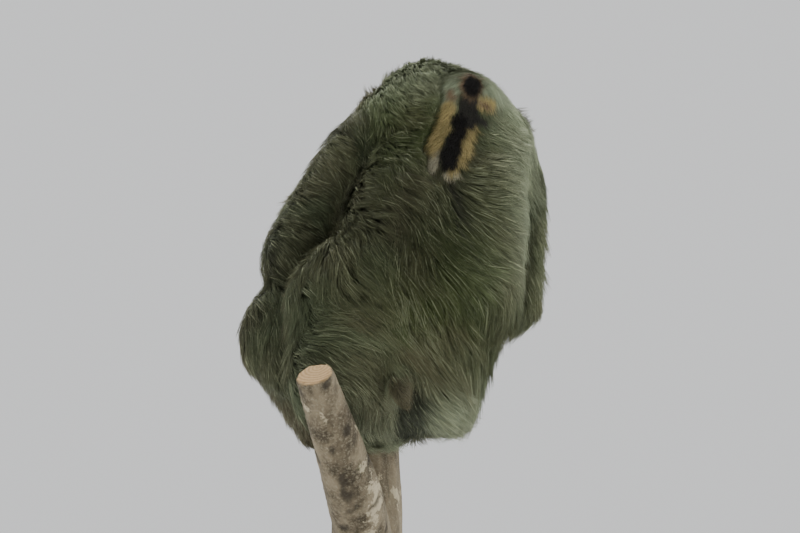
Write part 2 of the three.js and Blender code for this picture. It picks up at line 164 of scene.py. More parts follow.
def piece_from(name, mesh, material, slot, *nodes):
    """An object that shows a mesh, rides on the part and stands for some of its nodes."""
    piece = shown(name, mesh)
    mesh.materials.append(material)
    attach(piece, "root")
    if nodes:
        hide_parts(*nodes)
    return piece


def unit(vectors):
    return vectors / np.maximum(np.linalg.norm(vectors, axis=-1, keepdims=True), 1e-12)


def vertex_normals(points, faces):
    a, b, c = (points[faces[:, k]] for k in range(3))
    across = np.cross(b - a, c - a)
    total = np.zeros_like(points)
    for k in range(3):
        for axis in range(3):
            total[:, axis] += np.bincount(faces[:, k], across[:, axis], len(points))
    return unit(total)


def face_areas(points, faces):
    a, b, c = (points[faces[:, k]] for k in range(3))
    return np.linalg.norm(np.cross(b - a, c - a), axis=1) / 2


class Smoother:
    """Averages values over the neighbours of each vertex of a mesh."""

    def __init__(self, faces, count):
        pairs = np.sort(np.vstack([faces[:, [0, 1]], faces[:, [1, 2]], faces[:, [2, 0]]]), axis=1)
        pairs = np.unique(pairs, axis=0)
        self.ends = np.concatenate([pairs[:, 0], pairs[:, 1]])
        self.others = np.concatenate([pairs[:, 1], pairs[:, 0]])
        self.count = count
        self.degree = np.maximum(np.bincount(self.ends, minlength=count), 1)

    def around(self, values):
        if values.ndim == 1:
            return np.bincount(self.ends, values[self.others], self.count) / self.degree
        return np.stack([self.around(values[:, k]) for k in range(values.shape[1])], axis=1)

    def run(self, values, rounds, share=0.5):
        for _ in range(rounds):
            values = values + share * (self.around(values) - values)
        return values

    def keep_volume(self, points, rounds):
        """Smooths places without shrinking the form."""
        for _ in range(rounds):
            points = self.run(points, 1, 0.5)
            points = self.run(points, 1, -0.53)
        return points


HASH_MASK = 0x7FFFFFFF
HASH_FACTORS = (73856093, 19349663, 83492791)  # for the three axes of a cell
SEED_FACTOR = 50331653
HASH_ROUNDS = ((15, 2246822519), (13, 3266489917))


def noise(places, wavelength, seed):
    """Smooth random values between -1 and 1 in space, about one hill or dip for each wavelength."""
    grid = places / wavelength + 500.0
    low = np.floor(grid).astype(np.int64)
    share = grid - low
    share = share * share * (3 - 2 * share)
    total = np.zeros(len(places))
    for corner in range(8):
        step = np.array([corner & 1, corner >> 1 & 1, corner >> 2])
        cell = (low + step) & 0xFFFF
        key = np.bitwise_xor.reduce(cell * HASH_FACTORS, axis=1) ^ seed * SEED_FACTOR
        key = key & HASH_MASK
        for shift, factor in HASH_ROUNDS:
            key = ((key ^ key >> shift) * factor) & HASH_MASK
        value = (key ^ key >> 16) / (HASH_MASK // 2) - 1
        weight = np.prod(np.where(step, share, 1 - share), axis=1)
        total += weight * value
    return total


def ramp(values, low, high):
    """0 below low, 1 above high, and smooth between them."""
    share = np.clip((values - low) / (high - low), 0, 1)
    return share * share * (3 - 2 * share)


def tree_of(points, faces):
    return BVHTree.FromPolygons([tuple(p) for p in points], [tuple(f) for f in faces])


def nearest(tree, places):
    """For each place: the nearest point on a mesh, the face it lies on and the distance."""
    found = [tree.find_nearest(place) for place in places.tolist()]
    spots = np.array([hit[0][:] for hit in found])
    return spots, np.array([hit[2] for hit in found]), np.array([hit[3] for hit in found])


# ------------------------------------------------------------------ the frame's own places


def node_arrays(*names):
    """The joined triangles of some nodes, and the place in `names` of the node that each came from."""
    points, faces, owners = [], [], []
    count = 0
    for index, name in enumerate(names):
        p, f = arrays_of(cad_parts[name].data)
        points.append(p)
        faces.append(f + count)
        owners.append(np.full(len(f), index))
        count += len(p)
    return np.vstack(points), np.vstack(faces), np.concatenate(owners)


def middle(node):
    low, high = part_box(node)
    return (np.array(low) + np.array(high)) / 2


AXIAL_PARTS = ["trunk", "tail", "neck", "head"]
ARM_PARTS = ["upper_arm", "forearm", "hand"]
LEG_PARTS = ["thigh", "shank", "foot"]
FLESH = AXIAL_PARTS + [f"{part}_{side}" for side in SIDES for part in ARM_PARTS + LEG_PARTS]


def part_name(node):
    """The name of a node without its side."""
    for side in SIDES:
        node = node.removesuffix("_" + side)
    return node


TRUNK_MIDDLE = middle("trunk")

# The back as the camera sees it: right, up, and the way towards the eye.
azimuth = math.radians(CAMERA["azimuth"])
elevation = math.radians(CAMERA["elevation"])
TOWARDS = np.array(
    [math.sin(azimuth) * math.cos(elevation), -math.cos(azimuth) * math.cos(elevation), math.sin(elevation)]
)
BACK_RIGHT = unit(np.cross(UP, TOWARDS))
BACK_UP = np.cross(TOWARDS, BACK_RIGHT)


def on_back(places):
    """Right and up from the trunk's middle, in mm, as the back is seen from behind and a little below."""
    from_middle = places - TRUNK_MIDDLE
    return from_middle @ BACK_RIGHT / MM, from_middle @ BACK_UP / MM


# The head's frame: right, ahead and up from the middle of the skull, worked out from eyes and nose.
NOSE_BELOW_EYES = 31  # degrees that the nose lies below straight ahead, seen from between the eyes
SKULL_BEHIND_EYES = 36 * MM


def head_frame():
    left, right, nose = middle("eye_left"), middle("eye_right"), middle("nose")
    between = (left + right) / 2
    across = unit(right - left)
    to_nose = unit(nose - between)
    level_up = unit(np.cross(across, to_nose))
    angle = math.radians(NOSE_BELOW_EYES)
    ahead = math.cos(angle) * to_nose + math.sin(angle) * level_up
    up = np.cross(across, ahead)
    return between - SKULL_BEHIND_EYES * ahead, across, ahead, up


HEAD_MIDDLE, HEAD_RIGHT, HEAD_AHEAD, HEAD_UP = head_frame()


def on_head(places):
    """Right, ahead and up from the middle of the skull, in mm."""
    from_middle = places - HEAD_MIDDLE
    return from_middle @ HEAD_RIGHT / MM, from_middle @ HEAD_AHEAD / MM, from_middle @ HEAD_UP / MM


# ------------------------------------------------------------------ the coat's colours


def linear(red, green, blue):
    """A colour given in sRGB, 0 to 255, as linear light."""
    value = np.array([red, green, blue]) / 255
    return np.where(value <= 0.04045, value / 12.92, ((value + 0.055) / 1.055) ** 2.4)


OLIVE = linear(86, 97, 55)
GREY_GREEN = linear(108, 117, 87)
GREY_BROWN = linear(112, 106, 80)
BELLY = linear(116, 108, 88)
PALE_GREY = linear(164, 174, 144)
CREAM = linear(214, 202, 170)
DULL_CREAM = linear(196, 190, 162)
TAN = linear(160, 138, 106)
DARK_BROWN = linear(50, 38, 29)
OCHRE = linear(198, 180, 122)
RUST = linear(136, 104, 76)
UMBER = linear(142, 122, 96)
SOOT = linear(30, 27, 24)
SMOKE = linear(62, 60, 54)
PALE_TIP = linear(190, 196, 156)

# The speculum, the patch of short fur between a male's shoulders, as strokes on the back: from, to and
# radius in mm right and up, and the colour. Later strokes lie on the earlier ones.
SPECULUM = [
    ((38, 160), (34, 140), 7, PALE_GREY), ((72, 158), (80, 148), 6, PALE_GREY),
    ((15, 76), (20, 88), 4, DULL_CREAM), ((28, 66), (36, 68), 3.5, DULL_CREAM),
    ((34, 140), (18, 92), 6, OCHRE), ((66, 142), (72, 144), 7.5, OCHRE),
    ((53, 118), (41, 84), 6.5, OCHRE), ((39, 80), (34, 70), 3.5, OCHRE),
    ((36, 153), (38, 149), 4.5, UMBER), ((68, 144), (71, 141), 3.5, UMBER),
    ((55, 147), (50, 124), 9.5, SMOKE), ((56, 131), (65, 124), 5, SMOKE), ((44, 124), (30, 79), 7.5, SOOT),
    ((56, 163), (56, 157), 11, UMBER), ((57, 163), (57, 157), 8.5, SOOT),
]
SPECULUM_EDGE = 6  # how far round the speculum, in mm, the hair is as short as inside it
SPECULUM_DEPTH = 3 * MM
SPECULUM_RAGGED = 2.6  # mm that the edges of its strokes waver to the right, and up
SPECULUM_UNEVEN = 2.0
SPECULUM_SOFT = 2.2
SPECULUM_MOTTLE = 0.2  # share of its brightness that it loses on average, from none to twice that
HOLLOW_DEPTH = 17 * MM
SOFT_EDGE = 5  # mm over which the folds and the hollow fade, with their painted shade

# Where the skin stands out from the depth of the coat, seen from behind: the middle of the place in mm
# right and up, its radius, and how far out. They fill the fold between the left arm and thigh, widen the
# left thigh, flatten the right hip and raise the shoulders.
SWELLINGS = [
    (-142, -50, 18, 13), (-168, -125, 28, 12),
    (78, -100, 30, -9), (68, -152, 26, -11),
    (0, 180, 38, 5), (66, 162, 26, 4),
]

# In strokes of the same kind: the folds beside the arms, painted dark as shade, the places with most pale
# locks, and the hollow round the tail, also painted dark as shade.
FOLDS = [((-54, 84), (-130, -38), 9), ((104, 55), (88, -90), 7)]
PALE_LOCKS = [((-22, -50), (-10, -75), 20), ((-70, -150), (-55, -175), 18), ((15, -155), (48, -160), 18)]
HOLLOW = [((-12, -134), (-18, -172), 14), ((-18, -177), (18, -186), 8)]
SLIT = ((30, 60), (24, 28), 3.5)  # the crease below the speculum, painted dark as its shade
SLIT_SOFT = 3
OPEN_BACK = (-35 * MM, -10 * MM)  # how far behind the trunk's middle the open back begins, and is full


def stroke_share(right, up, start, end, radius, soft):
    """1 inside a round-ended stroke on the back, 0 outside it."""
    (x, y), (to_x, to_y) = start, end
    run = np.array([to_x - x, to_y - y])
    along = np.clip(((right - x) * run[0] + (up - y) * run[1]) / (run @ run), 0, 1)
    gap = np.hypot(right - x - along * run[0], up - y - along * run[1])
    return 1 - ramp(gap, radius - soft, radius + soft)


def on_open_back(places):
    """1 on the side of the trunk that faces backwards, up to the top of the shoulders."""
    return ramp(TRUNK_MIDDLE[1] - places[:, 1], *OPEN_BACK)


def wider(strokes, more):
    """The strokes of a table with colours, without them and with larger radii."""
    return [(start, end, radius + more) for start, end, radius, _ in strokes]


def speculum_share(places):
    return share_on_back(wider(SPECULUM, SPECULUM_EDGE), places, SPECULUM_EDGE)


def share_on_back(strokes, places, soft):
    right, up = on_back(places)
    shares = [stroke_share(right, up, *stroke, soft) for stroke in strokes]
    return np.max(shares, axis=0) * on_open_back(places)


def arm_fold(right, up):
    return np.max([stroke_share(right, up, *fold, SOFT_EDGE) for fold in FOLDS], axis=0)


def hollow_share(places):
    return share_on_back(HOLLOW, places, SOFT_EDGE)


def laid_over(colour, share, fresh):
    """A share of another colour laid over some colours."""
    return colour + np.asarray(share)[:, None] * (fresh - colour)


# How the shades of the coat lie. A pair is where a shade begins and where it is full, in mm right, left,
# up or down from the trunk's middle. A share says how much of the other colour is laid over.
PATCHES = {"wide": 60 * MM, "fine": 24 * MM}  # size of the patches in which the shade varies
ALGAE = {"half_width": 75, "up": (-150, -60), "share": 0.7, "patchy": 0.3}
BROWN = {"share": 0.3, "by_fine": 0.4, "by_wide": 0.2, "most": 0.8}
PALE_EDGE = {"right": (55, 100), "up": (-80, 20), "share": 0.55}
PALE_RUMP = {"down": (100, 160), "right": (-60, 20), "least": 0.4, "more": 0.45, "share": 0.75}
PALE_TOP = {"up": (130, 175), "share": 0.45}
PALE_MOST = 0.85
# Painted shade: where the coat is darker as if in shadow, and the share of its brightness that it loses
# there.
MIDDLE_SHADE = {"right": -5, "up": 25, "reach": 75, "loss": 0.5}
LEFT_SIDE_SHADE = {"left": (70, 130), "loss": 0.3}
HOLLOW_SHADE = 0.75
FOLD_SHADE = 0.5
COAT_BRIGHTNESS = 0.82  # brightness of the coat against its named colours, outside the painted shade
FRONT = {"trunk": (5 * MM, 40 * MM), "rest": (50 * MM, 105 * MM), "share": 0.7}  # ahead of the middle
SLIT_SHARE = 0.7
PAWS_SHARE = 0.6
TAIL_SHARE = 0.8
TAIL_SHADE = 0.8


def markings(places, owners):
    """The coat's colour at some places, the same for skin and hair, with some shade painted in."""
    right, up = on_back(places)
    open_back = on_open_back(places)
    wide, fine = noise(places, PATCHES["wide"], 11), noise(places, PATCHES["fine"], 12)
    colour = np.tile(GREY_GREEN, (len(places), 1))
    trunk = np.isin(owners, [FLESH.index("trunk"), FLESH.index("tail")])

    algae = np.exp(-((right / ALGAE["half_width"]) ** 2)) * ramp(up, *ALGAE["up"])
    algae = algae * (ALGAE["share"] + ALGAE["patchy"] * wide)
    colour = laid_over(colour, np.clip(algae, 0, 1), OLIVE)
    brown = BROWN["share"] + BROWN["by_fine"] * fine - BROWN["by_wide"] * wide
    colour = laid_over(colour, np.clip(brown, 0, BROWN["most"]), GREY_BROWN)
    edge = trunk * ramp(right, *PALE_EDGE["right"]) * ramp(up, *PALE_EDGE["up"])
    rump = PALE_RUMP["least"] + PALE_RUMP["more"] * ramp(right, *PALE_RUMP["right"])
    rump = ramp(-up, *PALE_RUMP["down"]) * rump
    top = trunk * ramp(up, *PALE_TOP["up"])
    pale = PALE_EDGE["share"] * edge + PALE_RUMP["share"] * rump + PALE_TOP["share"] * top
    colour = laid_over(colour, np.clip(pale, 0, PALE_MOST), PALE_GREY)

    # Painted shade: darker in the middle of the back and on the left side.
    across = (right - MIDDLE_SHADE["right"]) / MIDDLE_SHADE["reach"]
    above = (up - MIDDLE_SHADE["up"]) / MIDDLE_SHADE["reach"]
    brightness = 1 - MIDDLE_SHADE["loss"] * (open_back * np.exp(-(across**2) - above**2))
    brightness = brightness * (1 - LEFT_SIDE_SHADE["loss"] * ramp(-right, *LEFT_SIDE_SHADE["left"]))
    # Painted shade: darker in the hollow round the tail and in the folds beside the arms.
    brightness = brightness * (1 - HOLLOW_SHADE * hollow_share(places))
    brightness = brightness * (1 - FOLD_SHADE * arm_fold(right, up) * ~trunk)
    colour = colour * (COAT_BRIGHTNESS * brightness)[:, None]

    ahead = places[:, 1] - TRUNK_MIDDLE[1]
    front = np.where(trunk, ramp(ahead, *FRONT["trunk"]), ramp(ahead, *FRONT["rest"]))
    colour = laid_over(colour, FRONT["share"] * front, BELLY)
    # Painted shade: the crease below the speculum is painted dark.
    slit = stroke_share(right, up, *SLIT, SLIT_SOFT)
    colour = laid_over(colour, SLIT_SHARE * slit * open_back * trunk, SOOT)
    ragged = right + SPECULUM_RAGGED * noise(places, 8 * MM, 13)
    uneven = up + SPECULUM_UNEVEN * noise(places, 6 * MM, 15)
    for *stroke, paint in SPECULUM:
        share = stroke_share(ragged, uneven, *stroke, SPECULUM_SOFT)
        colour = laid_over(colour, share * open_back * trunk, paint)
    mottle = SPECULUM_MOTTLE * speculum_share(places) * (1 + noise(places, 4 * MM, 16))
    colour = colour * (1 - mottle)[:, None]
    for part in ("hand", "foot"):
        chosen = np.isin(owners, [FLESH.index(f"{part}_{side}") for side in SIDES])
        colour = laid_over(colour, PAWS_SHARE * chosen, GREY_BROWN)
    tail = owners == FLESH.index("tail")
    colour = laid_over(colour, TAIL_SHARE * tail, GREY_BROWN * TAIL_SHADE)
    return with_face(colour, places, owners)


# The face in mm right, ahead and up from the middle of the skull, with pairs and shares as above.
CROWN_SHARE = 0.7
FACE = {"ahead": (8, 18), "by_width": 0.2, "by_height": 0.9, "brow_up": 10, "ragged": 1.5}
MUZZLE = {"ahead": (42, 52), "ragged": 2, "share": 0.75}
# The dark stripe that runs down from the eye on both sides: where it starts and ends outwards of the
# eye. Then, outwards and inwards of it, its slope, its half thickness and how that changes with each mm.
STRIPE = {"eye": 17, "start": (-9, -5), "end": (22, 30), "soft": 1.5, "share": 0.92}
STRIPE_OUTER = {"slope": -0.55, "thick": 4.2, "growth": 0.06}
STRIPE_INNER = {"slope": 0.9, "thick": 3.2, "growth": 0.2}
THROAT = {"down": (26, 34), "behind": (4, 14), "from": 60, "share": 0.8, "shade": 0.7}
LIPS = {"gap": (1.2, 3.4), "share": 0.6, "shade": 0.5}
BARE_SKIN = {"gap": (0.9, 1.7), "mouth": 0.5, "shade": 0.7}


def with_face(colour, places, owners):
    """The head's colours: a brown crown, a pale face, dark stripes from the eyes and a brown throat."""
    right, ahead, up = on_head(places)
    head = owners == FLESH.index("head")
    fine = noise(places, 8 * MM, 14)
    colour = laid_over(colour, CROWN_SHARE * head, GREY_BROWN)
    wide = np.abs(right) + FACE["ragged"] * fine
    crown = FACE["by_height"] * np.maximum(up - FACE["brow_up"], 0)
    face = ramp(ahead - FACE["by_width"] * wide - crown + FACE["ragged"] * fine, *FACE["ahead"]) * head
    colour = laid_over(colour, face, CREAM)
    muzzle = ramp(ahead + MUZZLE["ragged"] * fine, *MUZZLE["ahead"]) * head
    colour = laid_over(colour, MUZZLE["share"] * muzzle, TAN)

    along = wide - STRIPE["eye"]
    outer, inner = (
        (half["slope"] * along, half["thick"] + half["growth"] * along)
        for half in (STRIPE_OUTER, STRIPE_INNER)
    )
    stripe_up, thick = np.where(along > 0, outer, inner)
    low, high = np.maximum(thick - STRIPE["soft"], 0), np.maximum(thick + STRIPE["soft"], 0.1)
    stripe = 1 - ramp(np.abs(up - stripe_up), low, high)
    stripe = stripe * ramp(along, *STRIPE["start"]) * (1 - ramp(along, *STRIPE["end"])) * face
    colour = laid_over(colour, STRIPE["share"] * stripe, DARK_BROWN)

    throat = ramp(-up, *THROAT["down"]) * ramp(THROAT["from"] - ahead, *THROAT["behind"]) * head
    colour = laid_over(colour, THROAT["share"] * throat, RUST * THROAT["shade"])
    lips = 1 - ramp(mouth_gap(places) + fine, *LIPS["gap"])
    colour = laid_over(colour, LIPS["share"] * lips * head, UMBER * LIPS["shade"])
    opening = np.minimum(eye_gap(places), mouth_gap(places) + BARE_SKIN["mouth"])
    bare = 1 - ramp(opening, *BARE_SKIN["gap"])
    return laid_over(colour, bare * head, DARK_BROWN * BARE_SKIN["shade"])


# ------------------------------------------------------------------ the skin


def remeshed(name, points, faces, voxel):
    """One closed surface round all the triangles given, in even cells."""
    scratch = shown(name, mesh_from(name, points, faces))
    modifier = scratch.modifiers.new("even", "REMESH")
    modifier.mode = "VOXEL"
    modifier.voxel_size = voxel
    made = scratch.evaluated_get(bpy.context.evaluated_depsgraph_get()).to_mesh()
    arrays = arrays_of(made)
    bpy.data.objects.remove(scratch)
    return arrays


def biggest_piece(points, faces):
    """The largest connected piece of a mesh, in case the remesh leaves a bubble."""
    label = np.arange(len(points))
    while True:
        lowest = label[faces].min(axis=1)
        fresh = label.copy()
        for k in range(3):
            np.minimum.at(fresh, faces[:, k], lowest)
        fresh = fresh[fresh]
        if (fresh == label).all():
            break
        label = fresh
    names, counts = np.unique(label, return_counts=True)
    kept = label == names[counts.argmax()]
    new_index = np.cumsum(kept) - 1
    return points[kept], new_index[faces[kept[faces[:, 0]]]]


def refined(points, faces, wanted):
    """The mesh with each edge at the wanted vertices cut in half."""
    form = bmesh.new()
    form.from_mesh(mesh_from("refined", points, faces))
    chosen = {vertex for vertex, pick in zip(form.verts, wanted) if pick}
    edges = [edge for edge in form.edges if chosen.intersection(edge.verts)]
    bmesh.ops.subdivide_edges(form, edges=edges, cuts=1)
    bmesh.ops.triangulate(form, faces=form.faces)
    return arrays_of(mesh_of("refined", form))


solid_points, solid_faces, solid_owners = node_arrays(*FLESH)
solid_tree = tree_of(solid_points, solid_faces)


def owners_at(places):
    """The place in FLESH of the node nearest to each point."""
    _, face, _ = nearest(solid_tree, places)
    return solid_owners[face]


def by_part(kind, owners):
    """A column of the COAT table for some owners."""
    return np.array([COAT[part_name(node)][kind] for node in FLESH])[owners]


# The face's features, in mm from the middle of the skull where nothing else is said.
BROW_UP = 6
FACE_AHEAD = (2, 16)  # where its short hair begins, and is full
FACE_BY_WIDTH = 0.35  # how much further ahead that is, for each mm to the side and above the brow
FACE_BY_HEIGHT = 0.55
HEAD_REACH = 75
FACE_DEPTH = 2.4 * MM
NOSE_REACH = 12 * MM
NOSE_SEAT = -1.2 * MM  # depth of the skin round the nose, which stands up to it
EYE_RADIUS = (np.array(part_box("eye_left")[1]) - np.array(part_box("eye_left")[0])).max() / 2 / MM
EYE_REACH = 10
OPENING_HALF_WIDE = 4.7
OPENING_HALF_HIGH = 2.9
LID_SLANT = -0.12
LID_THICK = 0.9
LID_FOLD = (2.3, 0.55, 0.35)  # the fold above a lid: how far above its edge, how wide and how deep
LID_RIM = (0.5, 0.4, 0.25)  # the rim along its edge: the same, but raised
LID_EDGE = 0.28  # half the width over which a lid gives way to the opening
LID_REACH = (0.86, 1.5)  # where the lids begin to fade into the head, and have, in radii of the eye
LID_BEHIND = 3  # how far behind an eye's middle they still lie
LID_CLOSE = 0.4  # further than this from the opening they never lie below the head's own skin
INSIDE_LIDS = (1.4, 0.6)  # how much smaller the skin's ball is than the eye in the opening, and how low
LIP = (2.2, 1.1, 0.5)  # the lips beside the line of the mouth, and the groove along it, in the same way
LIP_GROOVE = (0.0, 0.9, 1.6)
MOUTH_UP = -23.5
MOUTH_SMILE = 0.016  # how far it turns up, for the square of each mm to the side
MOUTH_HALF = 14
MOUTH_AHEAD = 30  # further back than this there is no mouth
FAR = 99.0  # a distance larger than any that matters on the face
EYE_WAY = {"out": 0.52, "ahead": 0.84, "up": 0.1}
OUTWARDS = {"left": -1, "right": 1}
EYE_AXES = {
    side: unit(
        EYE_WAY["ahead"] * HEAD_AHEAD + EYE_WAY["out"] * OUTWARDS[side] * HEAD_RIGHT + EYE_WAY["up"] * HEAD_UP
    )
    for side in SIDES
}

# How the skin is made: rounds of smoothing, and the steps in which it is drawn in by the coat's depth.
SOLID_ROUNDS = 12
DEPTH_ROUNDS = 14
SHRINK_STEPS = 4
STEP_ROUNDS = 3
STEP_SHARE = 0.4
FACE_CELLS = (20, 13, 9.5)  # mm from eyes and mouth within which the cells are halved, one after another
MOUTH_CELLS = 4  # how much nearer to the mouth than to the eyes that is
FACE_CELLS_SOFT = 0.7  # share of that distance within which the finer cells are smoothed in full


def face_share(places):
    """1 on the short-haired front of the face, 0 on the crown and the sides of the head."""
    right, ahead, up = on_head(places)
    crown = np.maximum(up - BROW_UP, 0)
    front = ramp(ahead - FACE_BY_WIDTH * np.abs(right) - FACE_BY_HEIGHT * crown, *FACE_AHEAD)
    return front * (np.hypot(np.hypot(right, ahead), up) < HEAD_REACH)


def round_eye(places, side):
    """Places seen from an eye's middle, in mm: outwards, up and ahead along the eye's own axis."""
    ahead = EYE_AXES[side]
    up = unit(HEAD_UP - (HEAD_UP @ ahead) * ahead)
    outwards = np.cross(ahead, up) * OUTWARDS[side]
    from_eye = (places - middle("eye_" + side)) / MM
    return from_eye @ outwards, from_eye @ up, from_eye @ ahead


def lid_gap(across, up):
    """How far above the edge of the lids a place lies, in mm: below zero in the opening of the eye."""
    edge = OPENING_HALF_HIGH * np.maximum(1 - (across / OPENING_HALF_WIDE) ** 2, -1)
    return np.abs(up - LID_SLANT * across) - edge


def eye_gap(places):
    """The lid_gap of the nearer eye, and a large number far from both."""
    gap = np.full(len(places), FAR)
    for side in SIDES:
        across, up, ahead = round_eye(places, side)
        near = (np.hypot(across, up) < EYE_REACH) & (ahead > -EYE_REACH / 2)
        gap[near] = lid_gap(across, up)[near]
    return gap


def mouth_gap(places):
    """How far a place lies from the line of the mouth, in mm: a wide line, turned up at its ends."""
    right, ahead, up = on_head(places)
    line = MOUTH_UP + MOUTH_SMILE * right**2
    beside = np.maximum(np.abs(right) - MOUTH_HALF, 0)
    return np.hypot(up - line, beside) + FAR * (ahead < MOUTH_AHEAD)


def skin_depths(places, owners):
    """How far the skin lies inside the solids at each of its vertices."""
    depth = by_part("depth", owners) * MM
    depth = depth + face_share(places) * (FACE_DEPTH - depth)
    beside_nose = np.exp(-(np.linalg.norm(places - middle("nose"), axis=1) / NOSE_REACH) ** 4)
    depth = depth + beside_nose * (NOSE_SEAT - depth)
    depth = depth + speculum_share(places) * (SPECULUM_DEPTH - depth)
    beside_tail = hollow_share(places) * (owners != FLESH.index("tail"))
    depth = depth + beside_tail * (HOLLOW_DEPTH - depth)
    right, up = on_back(places)
    for middle_right, middle_up, radius, out in SWELLINGS:
        depth = depth - out * MM * np.exp(-((right - middle_right) ** 2 + (up - middle_up) ** 2) / radius**2)
    return depth


def bump_at(gap, bump):
    """A smooth bump along a line: how high it is at some distances from the line."""
    middle_gap, width, height = bump
    return height * np.exp(-(((gap - middle_gap) / width) ** 2))


def with_lids(points):
    """The skin drawn over each eyeball and parted at the lids, with a fold above them."""
    for side in SIDES:
        across, up, ahead = round_eye(points, side)
        beside = np.hypot(across, up)
        gap = lid_gap(across, up)
        lid_ball = EYE_RADIUS + LID_THICK
        over = np.sqrt(np.maximum(lid_ball**2 - beside**2, 0))
        smaller, lower = INSIDE_LIDS
        inside = np.sqrt(np.maximum((EYE_RADIUS - smaller) ** 2 - beside**2, 0)) - lower
        lid = over - bump_at(gap, LID_FOLD) + bump_at(gap, LID_RIM)
        lid = lid + ramp(-gap, -LID_EDGE, LID_EDGE) * (inside - lid)
        near = 1 - ramp(beside, EYE_RADIUS * LID_REACH[0], EYE_RADIUS * LID_REACH[1])
        near = near * (ahead > -LID_BEHIND) * (beside < EYE_REACH)
        lift = near * (np.where(gap < LID_CLOSE, lid, np.maximum(lid, ahead)) - ahead)
        points = points + (lift * MM)[:, None] * EYE_AXES[side]
    return points


def with_mouth(points, normals):
    """A groove between the lips, and the lips a little fuller beside it."""
    gap = mouth_gap(points)
    push = bump_at(gap, LIP) - bump_at(gap, LIP_GROOVE)
    return points + normals * (push * MM)[:, None]


def features_gap(places):
    """The distance to the nearest of the face's finer features, in mm."""
    to_eyes = [np.linalg.norm(places - middle("eye_" + side), axis=1) / MM for side in SIDES]
    return np.minimum(np.minimum(*to_eyes), mouth_gap(places) + MOUTH_CELLS)


def make_skin():
    """The solids made one, smoothed and drawn in by the coat's depth, with finer cells on the face."""
    points, faces = remeshed("skin", solid_points, solid_faces, SKIN_VOXEL)
    points, faces = biggest_piece(points, faces)
    smoother = Smoother(faces, len(points))
    points = smoother.keep_volume(points, SOLID_ROUNDS)
    depth = smoother.run(skin_depths(points, owners_at(points)), DEPTH_ROUNDS)
    for _ in range(SHRINK_STEPS):
        points = points - vertex_normals(points, faces) * (depth / SHRINK_STEPS)[:, None]
        points = smoother.run(points, STEP_ROUNDS, STEP_SHARE)
    for reach in FACE_CELLS:
        points, faces = refined(points, faces, features_gap(points) < reach)
        near = ramp(-features_gap(points), -reach, -FACE_CELLS_SOFT * reach)[:, None]
        smoother = Smoother(faces, len(points))
        points = points + near * (smoother.run(points, STEP_ROUNDS, STEP_SHARE) - points)
    points = with_lids(points)
    points = with_mouth(points, vertex_normals(points, faces))
    return points, faces, owners_at(points), Smoother(faces, len(points))


# ------------------------------------------------------------------ the lie of the coat

# Which way the hair lies on the side that the camera sees: right and up from the trunk's middle in mm,
# then how far the hair runs to the right and up. Each one speaks for the part that it lies on.
LIE_BEHIND = [
    # the left shoulder, towards the spine
    (20, 165, 0.3, -1.0), (-5, 135, 1.0, -0.8), (10, 105, 1.0, -0.5), (22, 130, 0.9, -0.6),
    (-40, 50, 1.0, -0.25), (5, 70, 0.7, -0.6),
    # the left flank and the middle of the back
    (-65, 10, 0.6, -0.8), (-20, 10, 0.5, -0.85), (-95, -30, 0.3, -1.0), (-20, -50, 0.6, -1.0),
    (10, -25, 0.0, -1.0), (20, -85, -0.1, -1.0), (22, 30, 0.1, -1.0), (20, 0, 0.0, -1.0),
    # the left hip
    (-130, -65, 0.15, -1.0), (-85, -75, 1.0, -0.5), (-85, -110, 0.95, -0.5), (-60, -155, 0.25, -1.0),
    (-150, -95, 0.2, -1.0), (-130, -125, 0.4, -0.9), (-115, -60, 0.2, -1.0),
    # the right side of the back, outwards
    (60, 165, 0.5, -0.8), (88, 130, 0.8, -0.6), (78, 105, 0.9, -0.4), (55, 80, 0.9, -0.35),
    (82, 70, 1.0, -0.15), (52, 45, 1.0, -0.2), (84, 25, 1.0, -0.2), (50, 5, 1.0, -0.3),
    (74, -20, 1.0, -0.3), (50, -50, 0.9, -0.45), (80, -75, -0.45, -1.0),
    # the right buttock and hip
    (62, -100, -0.6, -0.9), (0, -135, 0.8, -0.6), (30, -155, 0.7, -0.8), (60, -135, -0.3, -0.9),
    # the left arm
    (-70, 95, 0.9, -0.5), (-105, 55, 0.9, -0.4), (-80, 30, 1.0, -0.4), (-125, 0, 0.7, -0.7),
    (-135, -35, 0.4, -0.9),
    # the right arm
    (118, 60, 0.25, -1.0), (115, -10, 0.15, -1.0), (108, -75, -0.2, -1.0),
]
LIE_REACH = 24 * MM  # how far one of these speaks for the hair round it
OWN_LIE = 0.03  # weight of the part's own direction against them
SPECULUM_LIE = np.array([-0.25, -1.0])  # right and up
LIE_SEEN = (-0.1, 0.25)  # how far the skin must face the camera for them to count at all, and in full
LIE_ROUNDS = 14
SWIRLS = ((55 * MM, 0.28), (24 * MM, 0.22))  # size of the wide and the fine swirls, and how far they turn
SPECULUM_CALM = 0.7  # share of the swirls that the speculum's short hair is without
LEAST_FACING = 0.3  # where the skin turns away more than this, a way that looks right no longer lies on it


BELLY_WAY = (0.9, -0.3, -0.6)  # outwards, ahead and up
BELLY_AHEAD = (0, 30 * MM)  # where the belly begins and is full, ahead of the trunk's middle
BELLY_TOP = (130 * MM, 70 * MM)  # the same above it, from the top down
SHOULDERS_UP = (80 * MM, 150 * MM)
SHOULDERS_WAY = np.array([0.0, -1.0, 0.6])


